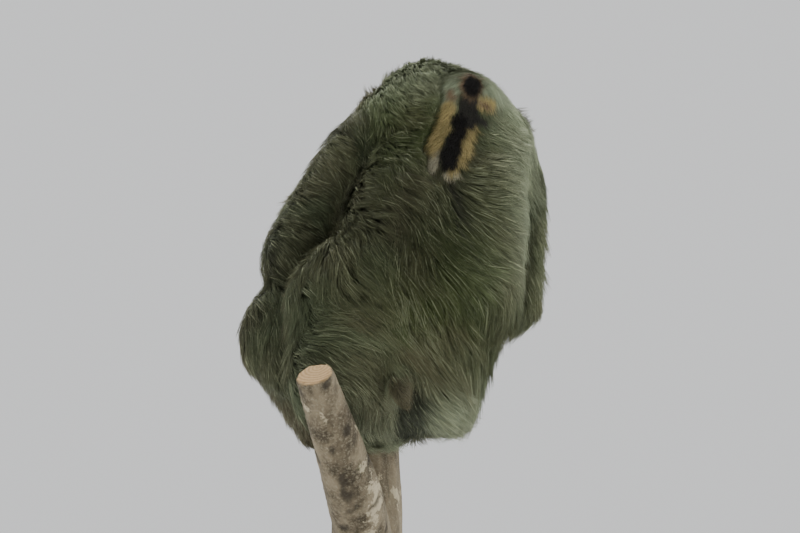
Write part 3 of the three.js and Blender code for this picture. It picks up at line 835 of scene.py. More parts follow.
def own_directions(points, owners):
    """Which way each part's hair runs where nothing else is said."""
    direction = np.tile([0.0, -0.3, -1.0], (len(points), 1))

    def set_for(node, way):
        chosen = owners == FLESH.index(node)
        direction[chosen] = way[chosen] if np.ndim(way) == 2 else way

    across = points[:, 0] - TRUNK_MIDDLE[0]
    belly = np.tile(BELLY_WAY, (len(points), 1))
    belly[:, 0] *= np.sign(across)
    out = points - TRUNK_MIDDLE
    in_front = (ramp(out[:, 1], *BELLY_AHEAD) * ramp(out[:, 2], *BELLY_TOP))[:, None]
    over_shoulders = ramp(out[:, 2], *SHOULDERS_UP)[:, None] * SHOULDERS_WAY
    set_for("trunk", in_front * belly + (1 - in_front) * (over_shoulders + [0, -0.3, -1]))
    set_for("neck", unit(TRUNK_MIDDLE - HEAD_MIDDLE) + [0, 0, -0.4])
    set_for("head", unit(points - middle("nose")) + [0, 0, -0.25])
    for side in SIDES:
        shoulder_to_elbow = middle("forearm_" + side) - middle("upper_arm_" + side)
        set_for("upper_arm_" + side, unit(shoulder_to_elbow) + [0, 0, -0.6])
        set_for("forearm_" + side, unit(middle("hand_" + side) - middle("upper_arm_" + side)) + [0, 0, -0.3])
        for part in ("hand", "foot"):
            claws = middle(f"{part}_claw_{side}_2")
            set_for(f"{part}_{side}", unit(claws - middle(f"{part}_{side}")) + [0, 0, -0.2])
        knee = (middle("thigh_" + side) + middle("shank_" + side)) / 2
        set_for("thigh_" + side, unit(knee - TRUNK_MIDDLE) + [0, -0.4, -0.6])
        set_for("shank_" + side, unit(middle("foot_" + side) - knee) + [0, 0, -0.6])
    return unit(direction)


def lie_group(owners):
    """The limb that a part belongs to, as a number: 0 for trunk, tail, neck and head."""
    groups = []
    for node in FLESH:
        side = 1 if node.endswith("left") else 2
        arm = part_name(node) in ARM_PARTS
        groups.append(0 if node in AXIAL_PARTS else side + 2 * arm)
    return np.array(groups)[owners]


def tangent(directions, normals):
    return directions - (directions * normals).sum(axis=-1, keepdims=True) * normals


def lie_of_coat():
    """The direction of the hair at each vertex of the skin, along the skin."""
    weights = np.full(len(skin_points), OWN_LIE)
    total = own_directions(skin_points, skin_owners) * OWN_LIE
    group = lie_group(skin_owners)
    seen = ramp(skin_normals @ TOWARDS, *LIE_SEEN)
    facing = np.maximum(skin_normals @ TOWARDS, LEAST_FACING)
    for right, up, run_right, run_up in LIE_BEHIND:
        start = TRUNK_MIDDLE + (right * BACK_RIGHT + up * BACK_UP) * MM + TOWARDS
        spot, _, face, _ = solid_tree.ray_cast(Vector(start), Vector(-TOWARDS))
        weight = np.exp(-((skin_points - np.array(spot)) ** 2).sum(axis=1) / (2 * LIE_REACH**2))
        weight *= (group == lie_group(solid_owners[face])) * seen
        way = run_right * BACK_RIGHT + run_up * BACK_UP
        total += weight[:, None] * unit(way - (skin_normals @ way / facing)[:, None] * TOWARDS)
        weights += weight
    on_speculum = speculum_share(skin_points)[:, None]
    speculum_way = SPECULUM_LIE[0] * BACK_RIGHT + SPECULUM_LIE[1] * BACK_UP
    lie = unit(tangent(total / weights[:, None], skin_normals))
    for _ in range(LIE_ROUNDS):
        lie = unit(tangent(skin_smoother.run(lie, 2), skin_normals))
    lie = lie + on_speculum * (unit(tangent(speculum_way, skin_normals)) - lie)
    lie = unit(tangent(skin_smoother.run(lie, 3), skin_normals))
    (wide, wide_turn), (fine, fine_turn) = SWIRLS
    swirl = noise(skin_points, wide, 1) * wide_turn + noise(skin_points, fine, 2) * fine_turn
    return turned(lie, skin_normals, swirl * (1 - SPECULUM_CALM * on_speculum[:, 0]))


def turned(directions, axes, angles):
    """Directions square to their axes, turned round them."""
    angles = angles[..., None]
    return directions * np.cos(angles) + np.cross(axes, directions) * np.sin(angles)


# ------------------------------------------------------------------ the paths of the hair

STATIONS = np.array([0.0, 0.5, 1.0])  # along a lock, as shares of its length
LEAN = 0.36  # the most that a lock's tip stands off the skin, as a share of its length
LIFT = 1.5  # power by which a lock rises from its root: the higher, the sooner

CREASE = (0.25, 0.6)  # of the ways out of the skin, the share left free deep in a crease and out of it
CREASE_SHADE = 0.4  # share of its brightness that the coat loses there: shade painted into the crease
CREASE_LOSS = 0.4  # share of its height that the coat loses deep in a crease
CREASE_SHORTENING = 0.6  # how much of that share it loses in length too
GAP_ROUNDS = 4
PROUD_ROUNDS = 10
LENGTH_ROUNDS = 6


class HairPaths:
    """For each vertex of the skin, how a lock that grows there runs over the skin."""

    def __init__(self):
        self.lie = lie_of_coat()
        _, _, gap = nearest(solid_tree, skin_points)
        self.open = exposure()
        openly = ramp(self.open, *CREASE)
        room = skin_smoother.run(gap, GAP_ROUNDS) * (1 - CREASE_LOSS * (1 - openly))
        room += skin_smoother.run(by_part("proud", skin_owners) * openly, PROUD_ROUNDS) * MM
        length = lengths(skin_points, skin_owners)
        length = length * (1 - CREASE_SHORTENING * CREASE_LOSS * (1 - openly))
        self.length = skin_smoother.run(length, LENGTH_ROUNDS)
        spots, normals, rooms = [skin_points], [skin_normals], [room]
        here, lie = skin_points, self.lie
        for step in np.diff(STATIONS):
            here, face, _ = nearest(skin_tree, here + lie * (step * self.length)[:, None])
            corners = skin_faces[face]
            normal = unit(skin_normals[corners].mean(axis=1))
            lie = unit(tangent(self.lie[corners].mean(axis=1), normal))
            spots.append(here)
            normals.append(normal)
            rooms.append(room[corners].mean(axis=1))
        self.runs = np.stack(spots, axis=1) - skin_points[:, None]
        self.normals = np.stack(normals, axis=1)
        self.rooms = np.stack(rooms, axis=1)


# Where the locks are shorter than the table says, in mm.
FACE_LENGTH = 8.5
MUZZLE_LENGTH = 3.6
MUZZLE_BEHIND = (0, 16)  # how far behind its front the muzzle's hair begins to lengthen, and has
MUZZLE_FRONT = 50
SPECULUM_LENGTH = 12
SPECULUM_FRINGE = {"width": 20, "soft": 15, "loss": 0.45}
HOLLOW_LENGTH = 18
TOP_UP = (125, 170)
TOP_LOSS = 0.35
FEATURE_GAP = (1, 6)  # how far from the lids and the mouth they begin to lengthen, and have
FEATURE_LEAST = 0.4


def lengths(points, owners):
    """How long the locks are at some places of the skin."""
    length = by_part("length", owners) * MM
    on_top = ramp(on_back(points)[1], *TOP_UP) * (owners == FLESH.index("trunk"))
    length = length * (1 - TOP_LOSS * on_top)
    _, ahead, _ = on_head(points)
    longer = (FACE_LENGTH - MUZZLE_LENGTH) * ramp(MUZZLE_FRONT - ahead, *MUZZLE_BEHIND)
    length = length + face_share(points) * ((MUZZLE_LENGTH + longer) * MM - length)
    fringe = share_on_back(wider(SPECULUM, SPECULUM_FRINGE["width"]), points, SPECULUM_FRINGE["soft"])
    length = length * (1 - SPECULUM_FRINGE["loss"] * fringe)
    length = length + speculum_share(points) * (SPECULUM_LENGTH * MM - length)
    length = length + hollow_share(points) * (np.minimum(length, HOLLOW_LENGTH * MM) - length)
    beside_features = ramp(np.minimum(eye_gap(points), mouth_gap(points)), *FEATURE_GAP)
    return length * (FEATURE_LEAST + (1 - FEATURE_LEAST) * beside_features)


def mixed(values, corners, shares):
    """Values of the skin's vertices, mixed at places inside its triangles."""
    spread = shares.reshape(shares.shape + (1,) * (values.ndim - 1))
    return (values[corners] * spread).sum(axis=1)


def scatter(dice, weights, count):
    """Places spread evenly over the skin: the triangle, and the shares of its corners."""
    total = np.cumsum(weights)
    marks = (np.arange(count) + dice.random(count)) * total[-1] / count
    face = np.searchsorted(total, marks).clip(0, len(weights) - 1)
    a, b = dice.random(count), dice.random(count)
    over = a + b > 1
    a, b = np.where(over, 1 - a, a), np.where(over, 1 - b, b)
    return face, np.stack([1 - a - b, a, b], axis=1)


def lock_lines(paths, corners, shares, layer, turn, curl, stretch):
    """The middle line of each lock: (n, stations, 3) places, and the skin's normals below them."""
    roots = mixed(skin_points, corners, shares)
    runs = mixed(paths.runs, corners, shares) * stretch[:, None, None]
    normals = unit(mixed(paths.normals, corners, shares))
    length = mixed(paths.length, corners, shares) * stretch
    rooms = np.minimum(mixed(paths.rooms, corners, shares), LEAN * length[:, None])
    first = np.repeat(normals[:, :1], len(STATIONS), axis=1)
    angles = turn[:, None] + curl[:, None] * STATIONS
    runs = turned(tangent(runs, first), first, angles) + (runs * first).sum(axis=-1, keepdims=True) * first
    heights = rooms * layer[:, None] * (1 - (1 - STATIONS) ** LIFT)
    return roots[:, None] + runs + normals * heights[..., None], normals


def droop(lines, normals, amount):
    """Lines hanging down by an amount at their tips, but never into the skin."""
    pull = np.tile(-UP, normals.shape[:2] + (1,))
    inwards = np.minimum((pull * normals).sum(axis=-1, keepdims=True), 0)
    pull = pull - inwards * normals
    return lines + pull * (amount[:, None] * STATIONS**2)[..., None]


# The two kinds of lock: the stations of their rings of three corners and then of their tip, and how wide
# each ring is. Then how high they lie in the coat, droop and are held by their clump, against the long
# ones, and the share of them that is thin.
LONG = {"stations": [0, 1, 2], "widths": [0.85, 1.0], "layer": 1.0, "droop": 1.0, "hold": 1.0, "thin": 0.6}
SHORT = {"stations": [0, 2], "widths": [1.0], "layer": 0.8, "droop": 0.5, "hold": 0.4, "thin": 0.8}
RING = 3
RIDGE = 0.9  # height of a lock's ridge against half its width


def lock_mesh(kind, lines, normals, width):
    """Closed three-sided spikes along the lines, as vertices (n, corners, 3)."""
    along = unit(np.gradient(lines, axis=1))
    up = unit(tangent(normals, along))
    across = np.cross(along, up)
    rings = kind["stations"][:-1]
    half = (width[:, None] * np.array(kind["widths"]))[..., None] / 2
    body = lines[:, rings]
    side_a = body - across[:, rings] * half
    side_b = body + across[:, rings] * half
    ridge = body + up[:, rings] * half * RIDGE
    corners = np.stack([side_a, side_b, ridge], axis=2).reshape(len(lines), -1, 3)
    return np.concatenate([corners, lines[:, -1:]], axis=1)


def lock_faces(kind):
    """The triangles of one lock: its root, its sides and its tip."""
    rings = len(kind["widths"])
    faces = [(0, 2, 1)] + tube_faces(rings, RING)
    tip = rings * RING
    last = tip - RING
    faces += [(last + k, last + (k + 1) % RING, tip) for k in range(RING)]
    return np.array(faces)


def corner_places(kind):
    """For each corner of a lock: its station, and its place across the lock from 0 to 1."""
    rings = kind["stations"][:-1]
    station = np.append(np.repeat(rings, RING), kind["stations"][-1])
    return station, np.append(np.tile([0.0, 1.0, 0.5], len(rings)), 0.5)


# ------------------------------------------------------------------ the coat

LONG_LOCKS = 111000
SHORT_LOCKS = 92000
CLUMPS = 12000
PIECE_LOCKS = {10: 18500, 4: 46000}  # for each number of triangles in a lock, how many a piece may hold
SHORT_BELOW = 17 * MM  # coat shorter than this has short locks only
UNDERCOAT = 0.3  # how thickly short locks grow among the long ones
CREASE_UNDERCOAT = 3  # deep in a crease, this many more for each of them
FACE_DENSITY = 9
SHORT_DENSITY = 4
CLUMP_HOLD = 0.6  # how far a clump draws its locks together
PATCH = 0.003  # side of a lock's own patch in the map OFBake
STRANDS = 3.0  # streaks across a lock
STRAND_SPREAD = 90  # how far apart the locks lie in the pattern of streaks
BAND = 70 * MM  # height of the bands in which the coat is shared out among its pieces, from below

# How openly the skin lies: how many ways out of it are tried, how far, from how far off the skin, and
# how square to the skin one has to be.
WAYS_OUT = 24
WAY_LENGTH = 0.25
WAY_START = 3  # mm
LEAST_RISE = 0.15
OPEN_ROUNDS = 14


def exposure():
    """How openly each vertex of the skin lies: the share of ways out of it that meet nothing."""
    dice = np.random.default_rng(5)
    points, faces, _ = node_arrays(*FLESH, "perch")
    tree = tree_of(points, faces)
    ways = unit(dice.normal(size=(WAYS_OUT, 3)))
    starts, _, _ = nearest(solid_tree, skin_points)
    starts = starts + skin_normals * WAY_START * MM
    free = np.zeros(len(skin_points))
    seen = np.zeros(len(skin_points))
    for way in ways:
        outward = np.flatnonzero(skin_normals @ way > LEAST_RISE)
        ray = (Vector(way), WAY_LENGTH)
        free[outward] += [tree.ray_cast(start, *ray)[0] is None for start in starts[outward].tolist()]
        seen[outward] += 1
    return skin_smoother.run(free / np.maximum(seen, 1), OPEN_ROUNDS)


HIDDEN_DENSITY = 0.6  # how thickly hair grows where no way leads out, against open skin
BARE_LIDS = 0.9  # mm from the lids, and from the line of the mouth, that stay bare
BARE_LIPS = 0.7
SHORT_SOFT = 4 * MM  # how gradually long locks give way to short ones
FACE_LENGTHS = (7 * MM, 10 * MM)  # coat up to the first is as dense as on the face


def hair_weights(paths):
    """How thickly long and short locks grow on each triangle of the skin."""
    open_share = HIDDEN_DENSITY + (1 - HIDDEN_DENSITY) * paths.open
    bare = (eye_gap(skin_points) < BARE_LIDS) | (mouth_gap(skin_points) < BARE_LIPS)
    nose_low, nose_high = (np.array(corner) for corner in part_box("nose"))
    in_nose = ((skin_points > nose_low + 1 * MM) & (skin_points < nose_high - 1 * MM)).all(axis=1)
    grows = open_share * ~(bare | in_nose)
    short = 1 - ramp(paths.length, SHORT_BELOW - SHORT_SOFT, SHORT_BELOW + SHORT_SOFT)
    density = SHORT_DENSITY + (FACE_DENSITY - SHORT_DENSITY) * (1 - ramp(paths.length, *FACE_LENGTHS))
    area = face_areas(skin_points, skin_faces)
    long_weight = (grows * (1 - short))[skin_faces].mean(axis=1) * area
    under = UNDERCOAT * (1 + CREASE_UNDERCOAT * (1 - ramp(paths.open, *CREASE)))
    short_weight = (grows * (short * density + (1 - short) * under))[skin_faces].mean(axis=1) * area
    return long_weight, short_weight


# How much clumps differ. Turn and curl, in radians, run in waves over the skin and spread round them.
CLUMP_LAYER = (0.85, 1.15)
CLUMP_TURN = {"wave": 0.16, "wavelength": 14 * MM, "spread": 0.05}
CLUMP_CURL = {"wave": 0.4, "wavelength": 20 * MM, "spread": 0.1}
CLUMP_STRETCH = (0.8, 1.15)
CLUMP_DROOP = (0, 6)  # mm
CLUMP_SHADE = (0.9, 1.1)
SHORT_CLUMPED = 0.3  # how much a short lock counts against a long one where clumps are placed


class Clumps:
    """The lines that locks are drawn towards, and what the locks of one clump share."""

    def __init__(self, paths, dice, weights):
        face, shares = scatter(dice, weights, CLUMPS)
        corners = skin_faces[face]
        self.roots = mixed(skin_points, corners, shares)
        self.layer = dice.uniform(*CLUMP_LAYER, CLUMPS)
        self.turn = self.waves(CLUMP_TURN, 31, dice)
        self.curl = self.waves(CLUMP_CURL, 32, dice)
        self.stretch = dice.uniform(*CLUMP_STRETCH, CLUMPS)
        self.droop = dice.uniform(*CLUMP_DROOP, CLUMPS) * MM
        self.shade = dice.uniform(*CLUMP_SHADE, CLUMPS)
        lines, normals = lock_lines(paths, corners, shares, self.layer, self.turn, self.curl, self.stretch)
        self.lines = droop(lines, normals, self.droop)
        self.tree = KDTree(CLUMPS)
        for index, root in enumerate(self.roots.tolist()):
            self.tree.insert(root, index)
        self.tree.balance()

    def waves(self, values, seed, dice):
        wave = values["wave"] * noise(self.roots, values["wavelength"], seed)
        return wave + dice.normal(0, values["spread"], CLUMPS)

    def of(self, roots):
        """The number of the clump nearest to each root."""
        return np.array([self.tree.find(root)[1] for root in roots.tolist()])


CLUMP_SOFT = 5 * MM  # short coats don't clump: how gradually that begins
LAYER_LIMITS = (0.35, 1.25)  # the lowest and the highest layer of the coat, as shares of its room
# How much locks differ from their clump, in the same way, and how much more they turn in a short coat.
LOCK_SPREAD = {"layer": 0.1, "turn": 0.08, "loose_turn": 0.05, "curl": 0.12}
LOCK_STRETCH = (0.7, 1.1)
LOCK_DROOP = (0.4, 1.4)
LOOSENESS = 0.5  # how much less a lock of a short coat turns and curls with its clump
SQUEEZE = 0.6  # how much closer a lock comes to its clump's line at its tip
HOLD_POWER = 1.3  # the higher, the later along its length
SHORT_STRETCH = (0.45, 0.75)  # length of short locks among long ones
SHORT_WIDER = 0.35  # how much wider than the long ones they are there
THIN_WIDTH = (0.38, 0.6)  # mm
WIDE_WIDTH = (0.65, 1.0)
LOCK_SHADE = (0.82, 1.16)
PALE_THIN, PALE_WIDE = 0.16, 0.04  # share of the thin and of the wide locks that are pale
PALE_MORE = 2.5  # in the places with most, this many more for each of them
PALE_SOFT = 10
PALE_STRENGTH = (0.3, 0.9)
PALE_SHARE = 0.6
CREST = (105, 150)  # mm up the back: where the top of the shoulders begins, and where it is reached
CREST_EVENNESS = 0.75  # how far root and tip are alike there: painted light over the shadow between locks
CREST_BRIGHTNESS = 1.3
CLUMPED_SHADES = np.array([0.46, 0.9, 1.2])  # how bright a lock is at each station
LOOSE_SHADES = np.array([0.6, 0.9, 1.15])  # the same in a short coat


def grow(paths, clumps, dice, weights, count, kind):
    """Locks of one kind: their lines, the normals below, widths, colours and places on the map."""
    face, shares = scatter(dice, weights, count)
    corners = skin_faces[face]
    roots = mixed(skin_points, corners, shares)
    length = mixed(paths.length, corners, shares)
    clump = clumps.of(roots)
    loose = 1 - ramp(length, SHORT_BELOW - CLUMP_SOFT, SHORT_BELOW + CLUMP_SOFT)
    layer = kind["layer"] * clumps.layer[clump] + dice.normal(0, LOCK_SPREAD["layer"], count)
    layer = np.clip(layer, *LAYER_LIMITS)
    turn_spread = LOCK_SPREAD["turn"] + LOCK_SPREAD["loose_turn"] * loose
    turn = clumps.turn[clump] * (1 - LOOSENESS * loose) + dice.normal(0, turn_spread, count)
    curl = clumps.curl[clump] * (1 - LOOSENESS * loose) + dice.normal(0, LOCK_SPREAD["curl"], count)
    stretch = clumps.stretch[clump] * dice.uniform(*LOCK_STRETCH, count)
    wider_by = 1
    if kind is SHORT:
        stretch *= loose + (1 - loose) * dice.uniform(*SHORT_STRETCH, count)
        wider_by = 1 + SHORT_WIDER - SHORT_WIDER * loose
    lines, normals = lock_lines(paths, corners, shares, layer, turn, curl, stretch)
    hang = clumps.droop[clump] * dice.uniform(*LOCK_DROOP, count) * (1 - loose)
    lines = droop(lines, normals, hang * kind["droop"])
    apart = roots - clumps.roots[clump]
    held = clumps.lines[clump] + apart[:, None] * (1 - SQUEEZE * STATIONS[:, None])
    hold = CLUMP_HOLD * (1 - loose) * kind["hold"]
    pull = (hold[:, None] * STATIONS**HOLD_POWER)[..., None]
    lines = lines * (1 - pull) + held * pull

    thin = dice.random(count) < kind["thin"]
    wide = np.where(thin, dice.uniform(*THIN_WIDTH, count), dice.uniform(*WIDE_WIDTH, count))
    width = wide * wider_by * MM
    base = markings(roots, skin_owners[corners[:, 0]])
    shade = dice.uniform(*LOCK_SHADE, count) * clumps.shade[clump]
    more = PALE_MORE * share_on_back(PALE_LOCKS, roots, PALE_SOFT)
    chance = np.where(thin, PALE_THIN, PALE_WIDE) * (1 + more)
    pale = (dice.random(count) < chance) * dice.uniform(*PALE_STRENGTH, count)
    # Painted shade: locks rooted deep in a crease are darker.
    depth = 1 - CREASE_SHADE * (1 - ramp(mixed(paths.open, corners, shares), *CREASE))
    base = base * (shade * depth)[:, None]
    base = laid_over(base, PALE_SHARE * pale * (1 - loose), PALE_TIP)
    along = (1 - loose)[:, None] * CLUMPED_SHADES + loose[:, None] * LOOSE_SHADES
    # Painted light: on the top of the shoulders the locks are lighter, their roots most, which lifts the
    # shadow between them.
    crest = CREST_EVENNESS * ramp(on_back(roots)[1], *CREST)
    along = along + crest[:, None] * (CREST_BRIGHTNESS - along)
    return {
        "lines": lines,
        "normals": normals,
        "width": width,
        "colours": base[:, None] * along[..., None],
        "roots": roots,
        "spots": (skin_map[face] * shares[..., None]).sum(axis=1),
        "random": dice.random(count),
    }


def coat_piece(name, kind, locks, material):
    """One joined mesh of some locks, with their colours and their patches on the map OFBake."""
    places = lock_mesh(kind, locks["lines"], locks["normals"], locks["width"])
    count, per_lock = places.shape[:2]
    triangles = lock_faces(kind)
    faces = (triangles[None] + (np.arange(count) * per_lock)[:, None, None]).reshape(-1, 3)
    mesh = mesh_from(name, places.reshape(-1, 3), faces)
    station, across = corner_places(kind)
    set_colours(mesh, "coat_colour", locks["colours"][:, station].reshape(-1, 3))
    strand = np.empty((count, per_lock, 3))
    strand[..., 0] = STRANDS * across
    strand[..., 1] = STATIONS[station]
    strand[..., 2] = STRAND_SPREAD * locks["random"][:, None]
    set_values(mesh, "strand", strand.reshape(-1, 3))
    patch = np.stack([across - 0.5, STATIONS[station] - 0.5], axis=1) * PATCH
    spots = (locks["spots"][:, None] + patch).reshape(-1, 2)
    keep_map(mesh, spots[faces.ravel()])
    piece_from(name, mesh, material, "coat")


def build_coat(paths):
    dice = np.random.default_rng(41)
    long_weight, short_weight = hair_weights(paths)
    clumps = Clumps(paths, dice, long_weight + short_weight * SHORT_CLUMPED)
    material = hair_material()
    share = 1
    number = 1
    for kind, weights, count in ((LONG, long_weight, LONG_LOCKS), (SHORT, short_weight, SHORT_LOCKS)):
        locks = grow(paths, clumps, dice, weights, count // share, kind)
        most = PIECE_LOCKS[len(lock_faces(kind))]
        order = np.lexsort((locks["roots"][:, 0], np.round(locks["roots"][:, 2] / BAND)))
        for start in range(0, len(order), most):
            chosen = order[start : start + most]
            some = {key: values[chosen] for key, values in locks.items()}
            coat_piece(f"coat_{number}", kind, some, material)
            number += 1


MAP_ANGLE = 66  # degrees between faces above which the map is cut
MAP_MARGIN = 0.002


def unwrapped(points, faces):
    """A map of the skin's own shape: (triangles, 3 corners, 2), from 0 to 1."""
    scratch = shown("unwrap", mesh_from("unwrap", points, faces))
    bpy.context.view_layer.objects.active = scratch
    scratch.select_set(True)
    bpy.ops.object.mode_set(mode="EDIT")
    bpy.ops.mesh.select_all(action="SELECT")
    bpy.ops.uv.smart_project(angle_limit=math.radians(MAP_ANGLE), island_margin=MAP_MARGIN)
    bpy.ops.object.mode_set(mode="OBJECT")
    corners = np.empty(2 * 3 * len(faces), dtype=np.float32)
    scratch.data.uv_layers.active.uv.foreach_get("vector", corners)
    bpy.data.objects.remove(scratch)
    return corners.reshape(-1, 3, 2).astype(float)


# ------------------------------------------------------------------ materials


class Shades:
    """A procedural material being put together: its nodes, its shader and short ways to add to them."""

    def __init__(self, name, roughness, specular=0.5):
        self.material = bpy.data.materials.new(name)
        self.material.use_nodes = True
        self.tree = self.material.node_tree
        self.shader = self.tree.nodes["Principled BSDF"]
        self.shader.inputs["Roughness"].default_value = roughness
        self.shader.inputs["Specular IOR Level"].default_value = specular

    def node(self, kind, links=(), **settings):
        """A node of a kind, with inputs linked or set by name; other settings are its own properties."""
        made = self.tree.nodes.new("ShaderNode" + kind)
        for name, value in settings.items():
            setattr(made, name, value)
        for name, value in dict(links).items():
            self.feed(made.inputs[name], value)
        return made

    def feed(self, socket, value):
        if isinstance(value, bpy.types.NodeSocket):
            self.tree.links.new(value, socket)
        elif np.ndim(value) and socket.type == "RGBA":
            socket.default_value = (*value, 1)
        else:
            socket.default_value = value

    def attribute(self, name, output="Color"):
        return self.node("Attribute", attribute_name=name).outputs[output]

    def place(self):
        return self.node("NewGeometry").outputs["Position"]

    def stretched(self, source, scale):
        return self.node("VectorMath", {0: source, 1: scale}, operation="MULTIPLY").outputs[0]

    def noise(self, source, scale, detail=3.0, roughness=0.55):
        links = {"Vector": source, "Scale": scale, "Detail": detail, "Roughness": roughness}
        return self.node("TexNoise", links).outputs["Fac"]

    def spread(self, value, low, high, to_low=0.0, to_high=1.0):
        links = {"Value": value, "From Min": low, "From Max": high, "To Min": to_low, "To Max": to_high}
        return self.node("MapRange", links, interpolation_type="SMOOTHSTEP").outputs["Result"]

    def mix(self, share, first, second, blend="MIX"):
        made = self.node("Mix", data_type="RGBA", blend_type=blend)
        self.feed(made.inputs["Factor"], share)
        self.feed(made.inputs[6], first)
        self.feed(made.inputs[7], second)
        return made.outputs[2]

    def maths(self, operation, first, second=0.0):
        return self.node("Math", {0: first, 1: second}, operation=operation).outputs[0]

    def bump(self, height, strength, distance):
        links = {"Height": height, "Strength": strength, "Distance": distance}
        self.feed(self.shader.inputs["Normal"], self.node("Bump", links).outputs["Normal"])

    def colour(self, value):
        self.feed(self.shader.inputs["Base Color"], value)

    def roughness(self, value):
        self.feed(self.shader.inputs["Roughness"], value)


def hair_material():
    look = Shades("hair", 0.72, 0.22)
    streaks = look.noise(look.attribute("strand", "Vector"), 1.6, 2.0, 0.6)
    shade = look.spread(streaks, 0.3, 0.7, 0.72, 1.25)
    look.colour(look.mix(1.0, look.attribute("coat_colour"), shade, "MULTIPLY"))
    look.bump(streaks, 0.3, 0.3 * MM)
    return look.material


def skin_material():
    look = Shades("skin", 0.85, 0.2)
    fine = look.noise(look.place(), 420.0, 4.0, 0.65)
    shade = look.spread(fine, 0.3, 0.7, 0.6, 1.1)
    look.colour(look.mix(1.0, look.attribute("skin_colour"), shade, "MULTIPLY"))
    look.bump(fine, 0.6, 1.2 * MM)
    return look.material


BARE_GAP = (1.0, 2.2)  # mm from lids and mouth where the hair begins, and where it covers the skin
UNDER_HAIR = 0.6  # how bright the skin is under the hair, against the coat


def build_skin():
    """The skin under the coat, in the coat's colours but darker, and full colour where no hair grows."""
    mesh = mesh_from("skin", skin_points, skin_faces)
    bare = 1 - ramp(np.minimum(eye_gap(skin_points), mouth_gap(skin_points)), *BARE_GAP)
    shade = UNDER_HAIR + (1 - UNDER_HAIR) * bare
    set_colours(mesh, "skin_colour", markings(skin_points, skin_owners) * shade[:, None])
    keep_map(mesh, skin_map.reshape(-1, 2))
    piece_from("skin", mesh, skin_material(), "coat", *FLESH)


def bark_material():
    look = Shades("bark", 0.9, 0.25)
    place = look.place()
    grain = look.stretched(place, (1.0, 1.0, 0.28))
    coarse = look.noise(grain, 55.0, 6.0, 0.62)
    speckle = look.noise(place, 420.0, 3.0, 0.7)
    colour = look.mix(look.spread(coarse, 0.32, 0.68), linear(62, 55, 42), linear(124, 113, 92))
    colour = look.mix(look.spread(speckle, 0.45, 0.75, 0.0, 0.55), colour, linear(150, 143, 122))
    crust = look.noise(place, 26.0, 5.0, 0.6)
    crust_edge = look.maths("ADD", crust, look.maths("MULTIPLY", speckle, 0.12))
    colour = look.mix(look.spread(crust_edge, 0.63, 0.68, 0.0, 0.85), colour, linear(170, 160, 134))
    moss = look.noise(place, 17.0, 4.0, 0.65)
    colour = look.mix(look.spread(moss, 0.6, 0.74, 0.0, 0.6), colour, linear(84, 92, 50))
    cracks = look.attribute("bark_low", "Fac")
    colour = look.mix(look.maths("MULTIPLY", cracks, 0.75), colour, linear(34, 30, 24))
    height = look.maths("ADD", look.maths("MULTIPLY", coarse, 1.2), look.maths("MULTIPLY", speckle, 0.35))
    look.bump(height, 0.7, 2.2 * MM)
    rings = look.node(
        "TexWave",
        {"Vector": look.attribute("ring_place", "Vector"), "Scale": 85.0, "Distortion": 2.6, "Detail": 3.0},
        wave_type="RINGS",
        rings_direction="Z",
    ).outputs["Fac"]
    wood = look.mix(rings, linear(178, 150, 110), linear(154, 126, 88))
    wood = look.mix(look.spread(speckle, 0.4, 0.8, 0.0, 0.4), wood, linear(120, 94, 64))
    look.colour(look.mix(look.attribute("sawn", "Fac"), colour, wood))
    return look.material


def claw_material():
    look = Shades("claw_horn", 0.42, 0.45)
    along = look.attribute("along", "Fac")
    streaks = look.noise(look.attribute("streak_place", "Vector"), 1.0, 4.0, 0.6)
    colour = look.mix(look.spread(along, 0.0, 0.9), linear(96, 78, 54), linear(196, 178, 140))
    colour = look.mix(look.spread(streaks, 0.45, 0.75, 0.0, 0.6), colour, linear(92, 72, 48))
    look.colour(colour)
    look.bump(streaks, 0.25, 0.6 * MM)
    return look.material


def nose_material():
    look = Shades("nose_leather", 0.5, 0.25)
    pores = look.node("TexVoronoi", {"Vector": look.place(), "Scale": 900.0}).outputs["Distance"]
    blotch = look.noise(look.place(), 160.0)
    look.colour(look.mix(look.spread(blotch, 0.3, 0.7), linear(24, 18, 15), linear(42, 32, 27)))
    look.bump(pores, 0.5, 0.5 * MM)
    return look.material


def eye_material():
    look = Shades("eye", 0.08, 0.08)
    toward = look.attribute("gaze", "Fac")
    iris = look.mix(look.spread(toward, 0.84, 0.88), linear(40, 22, 12), linear(5, 4, 4))
    look.colour(look.mix(look.spread(toward, 0.6, 0.66), linear(20, 13, 9), iris))
    return look.material


def board_material():
    look = Shades("stand_board", 0.45, 0.4)
    grain = look.noise(look.stretched(look.place(), (0.12, 1.0, 1.0)), 90.0, 5.0, 0.6)
    colour = look.mix(look.spread(grain, 0.35, 0.65), linear(34, 28, 24), linear(62, 50, 41))
    look.colour(colour)
    look.roughness(look.spread(grain, 0.3, 0.7, 0.38, 0.55))
    look.bump(grain, 0.2, 0.6 * MM)
    return look.material


def steel_material():
    look = Shades("stand_steel", 0.35, 0.5)
    look.shader.inputs["Metallic"].default_value = 1.0
    brushed = look.noise(look.stretched(look.place(), (1.0, 1.0, 0.03)), 1400.0, 3.0, 0.6)
    look.colour(look.mix(brushed, linear(112, 114, 116), linear(146, 148, 150)))
    look.roughness(look.spread(brushed, 0.2, 0.8, 0.26, 0.42))
    return look.material


# ------------------------------------------------------------------ the branch

SAWN_DEPTH = 5 * MM  # a vertex this near an end plane belongs to the sawn face
SAWN_REACH = 60 * MM  # how far from the middle of its plane it may lie
SAWN_FACING = (0.6, 0.9)  # how nearly square to the plane it has to face
TIP_BEHIND = 30 * MM  # what lies this near the branch's rearmost place is the fork's tip
TIP_DEPTH = 12 * MM  # and its sawn face is the topmost part of that, this deep
TIP_INNER = (40 * MM, 60 * MM)  # the stretch ahead of the tip that tells which way the fork runs
BARK_ROUNDS = 10
BARK_STRETCH = (1.0, 1.0, 0.3)  # ridges run up the branch
